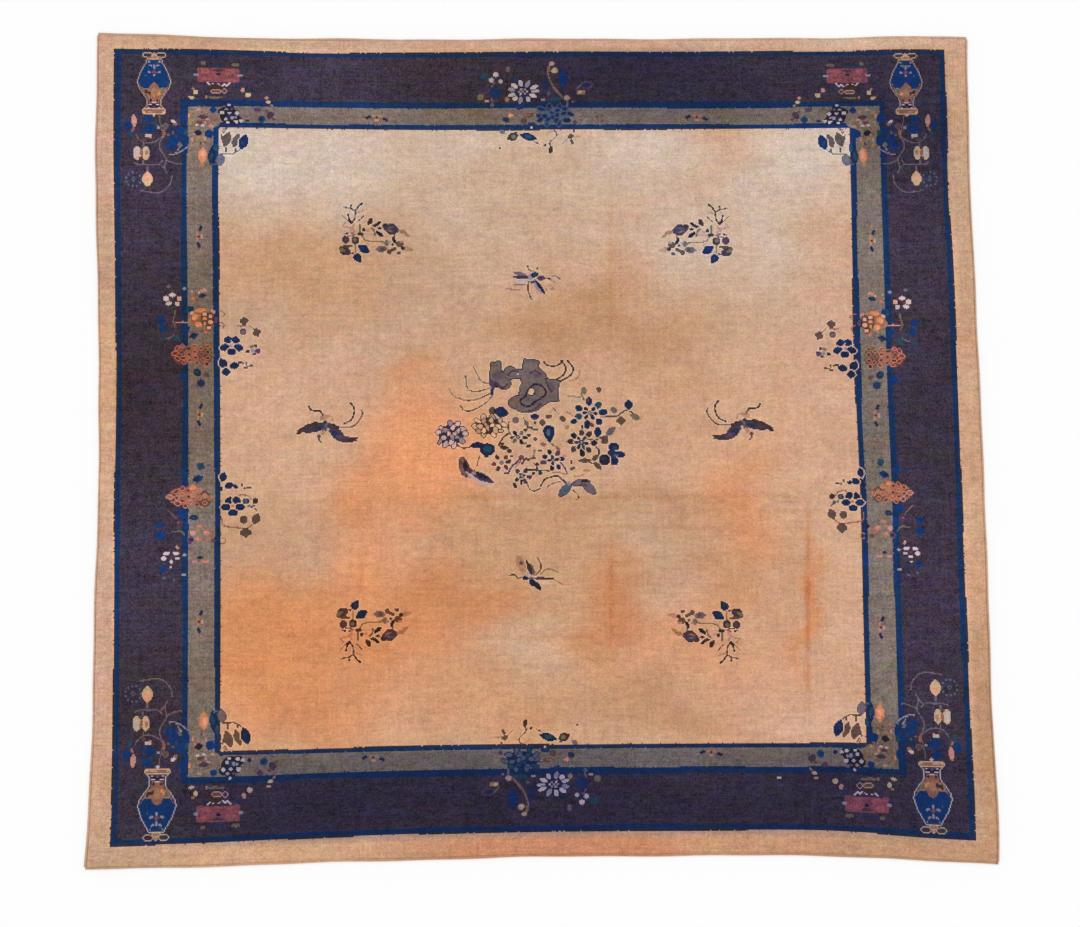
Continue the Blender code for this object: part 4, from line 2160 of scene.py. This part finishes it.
def pile_rim(first, marks, number):
    """The pile's shoulder: its places, heights and faces, from the overcast edge to the grid."""
    stations = ring_stations()
    count = len(stations)
    places = [ring_points(stations, inset) for inset, _ in RIM_HEIGHTS]
    heights = [np.full(count, height) for _, height in RIM_HEIGHTS]
    faces = []
    last = first + (len(RIM_HEIGHTS) - 1) * count
    for low in range(first, last, count):
        for index in range(count):
            after = (index + 1) % count
            faces.append([low + index, low + after, low + count + after, low + count + index])
    for index in range(count):
        after = (index + 1) % count
        inner = grid_run(stations[after][0], stations[index][0], marks, number)
        faces.append([last + index, last + after] + inner)
    return places, heights, faces


def build_pile(chart):
    """The pile: its top, knot by knot where yarns meet, and its shoulder."""
    grid, marks, number, faces, yarns = pile_top(chart)
    places, heights, rim_faces = pile_rim(len(grid), marks, number)
    faces += rim_faces
    yarns += [yarn("margin")] * len(rim_faces)
    woven = np.vstack([grid] + places)
    heights = np.concatenate([np.full(len(grid), PILE_TOP)] + heights)

    size = (KNOTS_ACROSS, KNOTS_UP)
    inside = woven.clip((0, 0), size)
    depth = crease_depth(inside[:, 0], inside[:, 1])[0]
    lift = WAVE_HEIGHT * wave_field(inside[:, 0], inside[:, 1]) - WAVE_HEIGHT
    from_edge = np.min(np.column_stack((inside, size - inside)), axis=1)
    heights = heights + (lift - depth) * np.clip(from_edge / WAVE_EDGE, 0, 1)
    x, y = floor_places(woven[:, 0], woven[:, 1])
    pile = new_mesh("rug_pile", np.column_stack((x, y, heights)), faces)
    mesh = pile.data
    mesh.shade_smooth()
    yarns = np.array(yarns)
    put_colours(mesh, "yarn", "FACE", np.array([linear(row[1:4]) for row in YARNS])[yarns])
    put_attribute(mesh, "mottle", "FLOAT", "FACE", np.array([row[4] for row in YARNS])[yarns])
    put_woven(mesh, woven)
    put_chart_layout(mesh, inside)
    return pile


# The woven edges and the back

def build_strip(name, rings, woven, straight):
    """A closed tube through long rows of points, which its faces follow straight or reversed."""
    around = len(rings)
    points = np.array(rings).transpose(1, 0, 2).reshape(-1, 3)
    woven = np.array(woven).transpose(1, 0, 2).reshape(-1, 2)
    order = 1 if straight else -1
    last = len(points) - around
    faces = []
    for low in range(0, last, around):
        for index in range(around):
            after = (index + 1) % around
            face = [low + index, low + after, low + around + after, low + around + index]
            faces.append(face[::order])
    faces.append(list(range(around))[::-order])
    faces.append(list(range(last, len(points)))[::order])
    strip = new_mesh(name, points, faces)
    strip.data.shade_smooth()
    put_woven(strip.data, woven)
    return strip


def build_cord(name, side, direction):
    """The overcast cord along one side: slanting wraps of wool."""
    length = (KNOTS_UP - 2 * CORD_END) * KNOT_PITCH
    stations = int(length / WRAP_PITCH) * 2
    along = np.linspace(CORD_END, KNOTS_UP - CORD_END, stations + 1)
    row = np.arange(stations + 1)
    travelled = (along if direction > 0 else KNOTS_UP - along) * KNOT_PITCH
    start = KNOTS_ACROSS if direction > 0 else 2 * KNOTS_ACROSS + KNOTS_UP
    wave = edge_wave(travelled + start * KNOT_PITCH)
    half_width = EDGE_WIDTH / 2 / KNOT_PITCH
    points, woven = [], []
    for index in range(CORD_SIDES):
        angle = math.pi * 2 * index / CORD_SIDES
        slant = WRAP_SLANT * math.cos(angle)
        bulge = 1 - WRAP_BULGE + WRAP_BULGE * np.cos(np.pi * (row + slant))
        inset = half_width - half_width * math.cos(angle) * bulge + wave / KNOT_PITCH
        across = side + direction * -inset
        up = along + slant * WRAP_SLANT
        x, y = floor_places(across, up)
        z = EDGE_TOP / 2 + math.sin(angle) * EDGE_TOP / 2 * bulge
        points.append(np.column_stack((x, y, z)))
        woven.append(np.column_stack((across, up)))
    return build_strip(name, points, woven, direction < 0)


def build_end(name, side, direction):
    """The narrow woven end above or below: ribs of weft side by side."""
    stations = KNOTS_ACROSS // END_STEP
    along = np.linspace(END_INSET, KNOTS_ACROSS - END_INSET, stations + 1)
    width = EDGE_WIDTH / KNOT_PITCH
    profile = [(END_FOOT, FLOOR_GAP)]
    for step in range(END_STEPS + 1):
        part = step / END_STEPS
        rib = abs(math.sin(part * math.pi * END_RIBS))
        height = EDGE_TOP * (END_LOW + END_RISE * part) + END_RIB_HEIGHT * rib
        profile.append((part * width, height))
    profile.append((width, FLOOR_GAP))
    row = np.arange(stations + 1)
    travelled = along if direction < 0 else KNOTS_ACROSS - along
    start = 0 if direction < 0 else KNOTS_ACROSS + KNOTS_UP
    wave = edge_wave((travelled + start) * KNOT_PITCH)
    points, woven = [], []
    for inset, height in profile:
        up = side - direction * (inset + wave / KNOT_PITCH)
        jog = END_JOG * np.sin(row * END_JOG_PACE[0] + inset * END_JOG_PACE[1])
        x, y = floor_places(along, up)
        z = np.maximum(height + jog, FLOOR_GAP)
        points.append(np.column_stack((x, y, z)))
        woven.append(np.column_stack((along, up)))
    return build_strip(name, points, woven, direction > 0)


def build_back():
    """The woven foundation below the pile: a thin closed slab."""
    columns = np.linspace(BACK_INSET, KNOTS_ACROSS - BACK_INSET, KNOTS_ACROSS // BACK_STEP + 1)
    rows = np.linspace(BACK_INSET, KNOTS_UP - BACK_INSET, KNOTS_UP // BACK_STEP + 1)
    across, up = (places.ravel() for places in np.meshgrid(columns, rows))
    x, y = floor_places(across, up)
    count, wide, tall = len(x), len(columns), len(rows)
    low = np.column_stack((x, y, np.zeros(count)))
    high = np.column_stack((x, y, np.full(count, BACK_TOP)))
    faces = []
    for row in range(tall - 1):
        for column in range(wide - 1):
            corner = row * wide + column
            loop = [corner, corner + 1, corner + wide + 1, corner + wide]
            faces.append(loop[::-1])
            faces.append([count + index for index in loop])
    rim = list(range(wide))
    rim += [row * wide + wide - 1 for row in range(1, tall)]
    rim += [(tall - 1) * wide + column for column in range(wide - 2, -1, -1)]
    rim += [row * wide for row in range(tall - 2, 0, -1)]
    for index, here in enumerate(rim):
        after = rim[(index + 1) % len(rim)]
        faces.append([here, after, count + after, count + here])
    back = new_mesh("rug_back", np.vstack((low, high)), faces)
    woven = np.column_stack((across, up))
    put_woven(back.data, np.vstack((woven, woven)))
    return back


# Materials

def link(tree, source, output, target, slot):
    tree.links.new(source.outputs[output], target.inputs[slot])


def make(tree, kind, **settings):
    node = tree.nodes.new(kind)
    for name, value in settings.items():
        setattr(node, name, value)
    return node


def attribute_node(tree, name):
    return make(tree, "ShaderNodeAttribute", attribute_name=name)


def feed(tree, node, slot, value):
    """Set a node's input to a value, or link it to a (node, output) pair."""
    if isinstance(value, tuple) and not isinstance(value[0], (int, float)):
        link(tree, *value, node, slot)
    elif value is not None:
        node.inputs[slot].default_value = value


def math_node(tree, operation, *values):
    """A math node whose inputs are numbers or (node, output) pairs."""
    node = make(tree, "ShaderNodeMath", operation=operation)
    for slot, value in enumerate(values):
        feed(tree, node, slot, value)
    return node


def vector_math(tree, operation, *values):
    """A vector math node whose inputs are vectors or (node, output) pairs."""
    node = make(tree, "ShaderNodeVectorMath", operation=operation)
    for slot, value in enumerate(values):
        feed(tree, node, slot, value)
    return node


def scaled(tree, vector, factor):
    node = vector_math(tree, "SCALE", vector)
    feed(tree, node, "Scale", factor)
    return node


def noise(tree, place, stretch, scale, detail, roughness):
    """Noise at places that may be stretched first."""
    node = make(tree, "ShaderNodeTexNoise")
    node.inputs["Scale"].default_value = scale
    node.inputs["Detail"].default_value = detail
    node.inputs["Roughness"].default_value = roughness
    if stretch:
        place = (vector_math(tree, "MULTIPLY", place, stretch), "Vector")
    link(tree, *place, node, "Vector")
    return node


def shade_factor(tree, woven, shade, fibre, amount):
    """How light or dark the wool is: one plus all its kinds of unevenness."""
    parts = [(shade, "Value", math_node(tree, "MULTIPLY", amount, KNOT_SHADE))]
    for stretch, scale, detail, roughness, share, own in WOOL_NOISES:
        source = noise(tree, woven, stretch, scale, detail, roughness)
        parts.append((source, "Fac", math_node(tree, "MULTIPLY_ADD", amount, share, own)))
    parts.append((fibre, "Fac", math_node(tree, "MULTIPLY_ADD", amount, *FIBRE_SHADE)))
    total = None
    for source, output, strength in parts:
        centred = math_node(tree, "SUBTRACT", (source, output), 0.5)
        part = math_node(tree, "MULTIPLY", (centred, 0), (strength, 0))
        total = part if total is None else math_node(tree, "ADD", (total, 0), (part, 0))
    return math_node(tree, "ADD", (total, 0), 1.0)


def hue_drift(tree, woven, amount):
    """How far the wool's hue strays: quick mottle and slow stains, round one."""
    hue = noise(tree, woven, *HUE_NOISE)
    stray = vector_math(tree, "SUBTRACT", (hue, "Color"), (0.5, 0.5, 0.5))
    reach = vector_math(tree, "MULTIPLY", (stray, "Vector"), HUE_REACH)
    spread = scaled(tree, (reach, "Vector"), amount)
    stain = noise(tree, woven, *STAIN_NOISE)
    lift = math_node(tree, "SUBTRACT", (stain, "Fac"), 0.5)
    held = math_node(tree, "MINIMUM", amount, STAIN_LIMIT)
    washed = math_node(tree, "MULTIPLY", (lift, 0), (held, 0))
    warmth = scaled(tree, STAIN_REACH, (washed, 0))
    both = vector_math(tree, "ADD", (spread, "Vector"), (warmth, "Vector"))
    return vector_math(tree, "ADD", (both, "Vector"), (1.0, 1.0, 1.0))


def tuft_bump(tree, woven, shade, fibre, tuft):
    """A small dome for each knot, with fluff, and some knots higher than others."""
    inside = vector_math(tree, "FRACTION", woven)
    centred = vector_math(tree, "SUBTRACT", (inside, "Vector"), (0.5, 0.5, 0.0))
    gap = vector_math(tree, "LENGTH", (centred, "Vector"))
    dome = math_node(tree, "MULTIPLY", (gap, "Value"), -TUFT_DOME * tuft)
    fluff = math_node(tree, "MULTIPLY", (fibre, "Fac"), TUFT_FLUFF)
    height = math_node(tree, "ADD", (dome, 0), (fluff, 0))
    level = math_node(tree, "MULTIPLY_ADD", (shade, "Value"), TUFT_LEVEL, (height, 0))
    bump = make(tree, "ShaderNodeBump")
    bump.inputs["Strength"].default_value = BUMP_STRENGTH
    bump.inputs["Distance"].default_value = BUMP_DISTANCE
    link(tree, level, 0, bump, "Height")
    return bump


def set_shader(shader, settings):
    for name, value in settings:
        shader.inputs[name].default_value = value


def wool_material(name, colour=None, tuft=1.0):
    """Matt wool. Without a colour of its own it takes each knot's yarn."""
    material = bpy.data.materials.new(name)
    material.use_nodes = True
    tree = material.node_tree
    shader = tree.nodes["Principled BSDF"]
    set_shader(shader, WOOL_FINISH)
    woven = (attribute_node(tree, "woven"), "Vector")
    shade = make(tree, "ShaderNodeTexWhiteNoise", noise_dimensions="3D")
    link(tree, vector_math(tree, "FLOOR", woven), "Vector", shade, "Vector")
    fibre = noise(tree, (make(tree, "ShaderNodeTexCoord"), "Object"), None, *FIBRE_NOISE)
    if colour is None:
        amount = (attribute_node(tree, "mottle"), "Fac")
        plain = (attribute_node(tree, "yarn"), "Color")
    else:
        amount = EDGE_MOTTLE
        plain = tuple(float(part) for part in linear(colour))
    # The yarn times its wear and the painted shade of the creases
    tinted = vector_math(tree, "MULTIPLY", plain, (attribute_node(tree, "wear_and_shade"), "Color"))
    factor = shade_factor(tree, woven, shade, fibre, amount)
    shaded = scaled(tree, (tinted, "Vector"), (factor, 0))
    drift = hue_drift(tree, woven, amount)
    coloured = vector_math(tree, "MULTIPLY", (shaded, "Vector"), (drift, "Vector"))
    link(tree, coloured, "Vector", shader, "Base Color")
    link(tree, tuft_bump(tree, woven, shade, fibre, tuft), "Normal", shader, "Normal")
    return material


def floor_material():
    material = bpy.data.materials.new("studio_floor")
    material.use_nodes = True
    set_shader(material.node_tree.nodes["Principled BSDF"], FLOOR_FINISH)
    return material


# Studio

def build_floor():
    half = FLOOR_SIZE / 2
    square = ((-half, -half), (half, -half), (half, half), (-half, half))
    corners = [(x, y, FLOOR_LEVEL) for x, y in square]
    floor = new_mesh("studio_floor", corners, [(0, 1, 2, 3)])
    floor.data.materials.append(floor_material())
    return floor


def light_studio():
    world = bpy.data.worlds.new("studio_world")
    bpy.context.scene.world = world
    world.use_nodes = True
    background = world.node_tree.nodes["Background"]
    background.inputs["Color"].default_value = (1.0, 1.0, 1.0, 1.0)
    background.inputs["Strength"].default_value = AMBIENT
    lamp = bpy.data.lights.new("studio_key", "SUN")
    lamp.angle = KEY_ANGLE
    lamp.energy = KEY_STRENGTH
    key = bpy.data.objects.new("studio_key", lamp)
    key.location = KEY_PLACE
    key.rotation_euler = aim_turn(KEY_PLACE, (0, 0, 0))
    bpy.context.collection.objects.link(key)
    bpy.context.scene.view_settings.view_transform = "Standard"


def aim_turn(place, aim):
    """Turn that points a light's or camera's -Z from a place to an aim."""
    toward = np.array(aim, float) - np.array(place, float)
    level = math.hypot(toward[0], toward[1])
    dip = math.pi / 2 - math.atan2(-toward[2], level)
    return (dip, 0.0, math.atan2(toward[1], toward[0]) - math.pi / 2)


def set_camera():
    tilt = math.radians(CAMERA_TILT)
    camera = bpy.data.objects.new("photo_camera", bpy.data.cameras.new("photo_camera"))
    camera.data.lens = CAMERA_LENS
    camera.data.sensor_width = CAMERA_SENSOR
    camera.location = (CAMERA_AIM[0], CAMERA_AIM[1] - CAMERA_DISTANCE * math.sin(tilt),
                       CAMERA_AIM[2] + CAMERA_DISTANCE * math.cos(tilt))
    camera.rotation_euler = (tilt, 0.0, 0.0)
    bpy.context.collection.objects.link(camera)
    bpy.context.scene.camera = camera


def declare(piece, material):
    piece.data.materials.append(material)
    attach(piece, "root")
    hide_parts("rug")


floor = build_floor()
pile = build_pile(drawn_chart())
declare(pile, wool_material("wool_pile_knots"))
edge_wool = wool_material("wool_pile_edge", EDGE_COLOUR, tuft=EDGE_TUFT)
pieces = [
    build_cord("rug_selvedge_left", 0.0, -1),
    build_cord("rug_selvedge_right", float(KNOTS_ACROSS), 1),
    build_end("rug_end_web_bottom", 0.0, -1),
    build_end("rug_end_web_top", float(KNOTS_UP), 1),
    build_back(),
]
for piece in pieces:
    declare(piece, edge_wool)
light_studio()
set_camera()
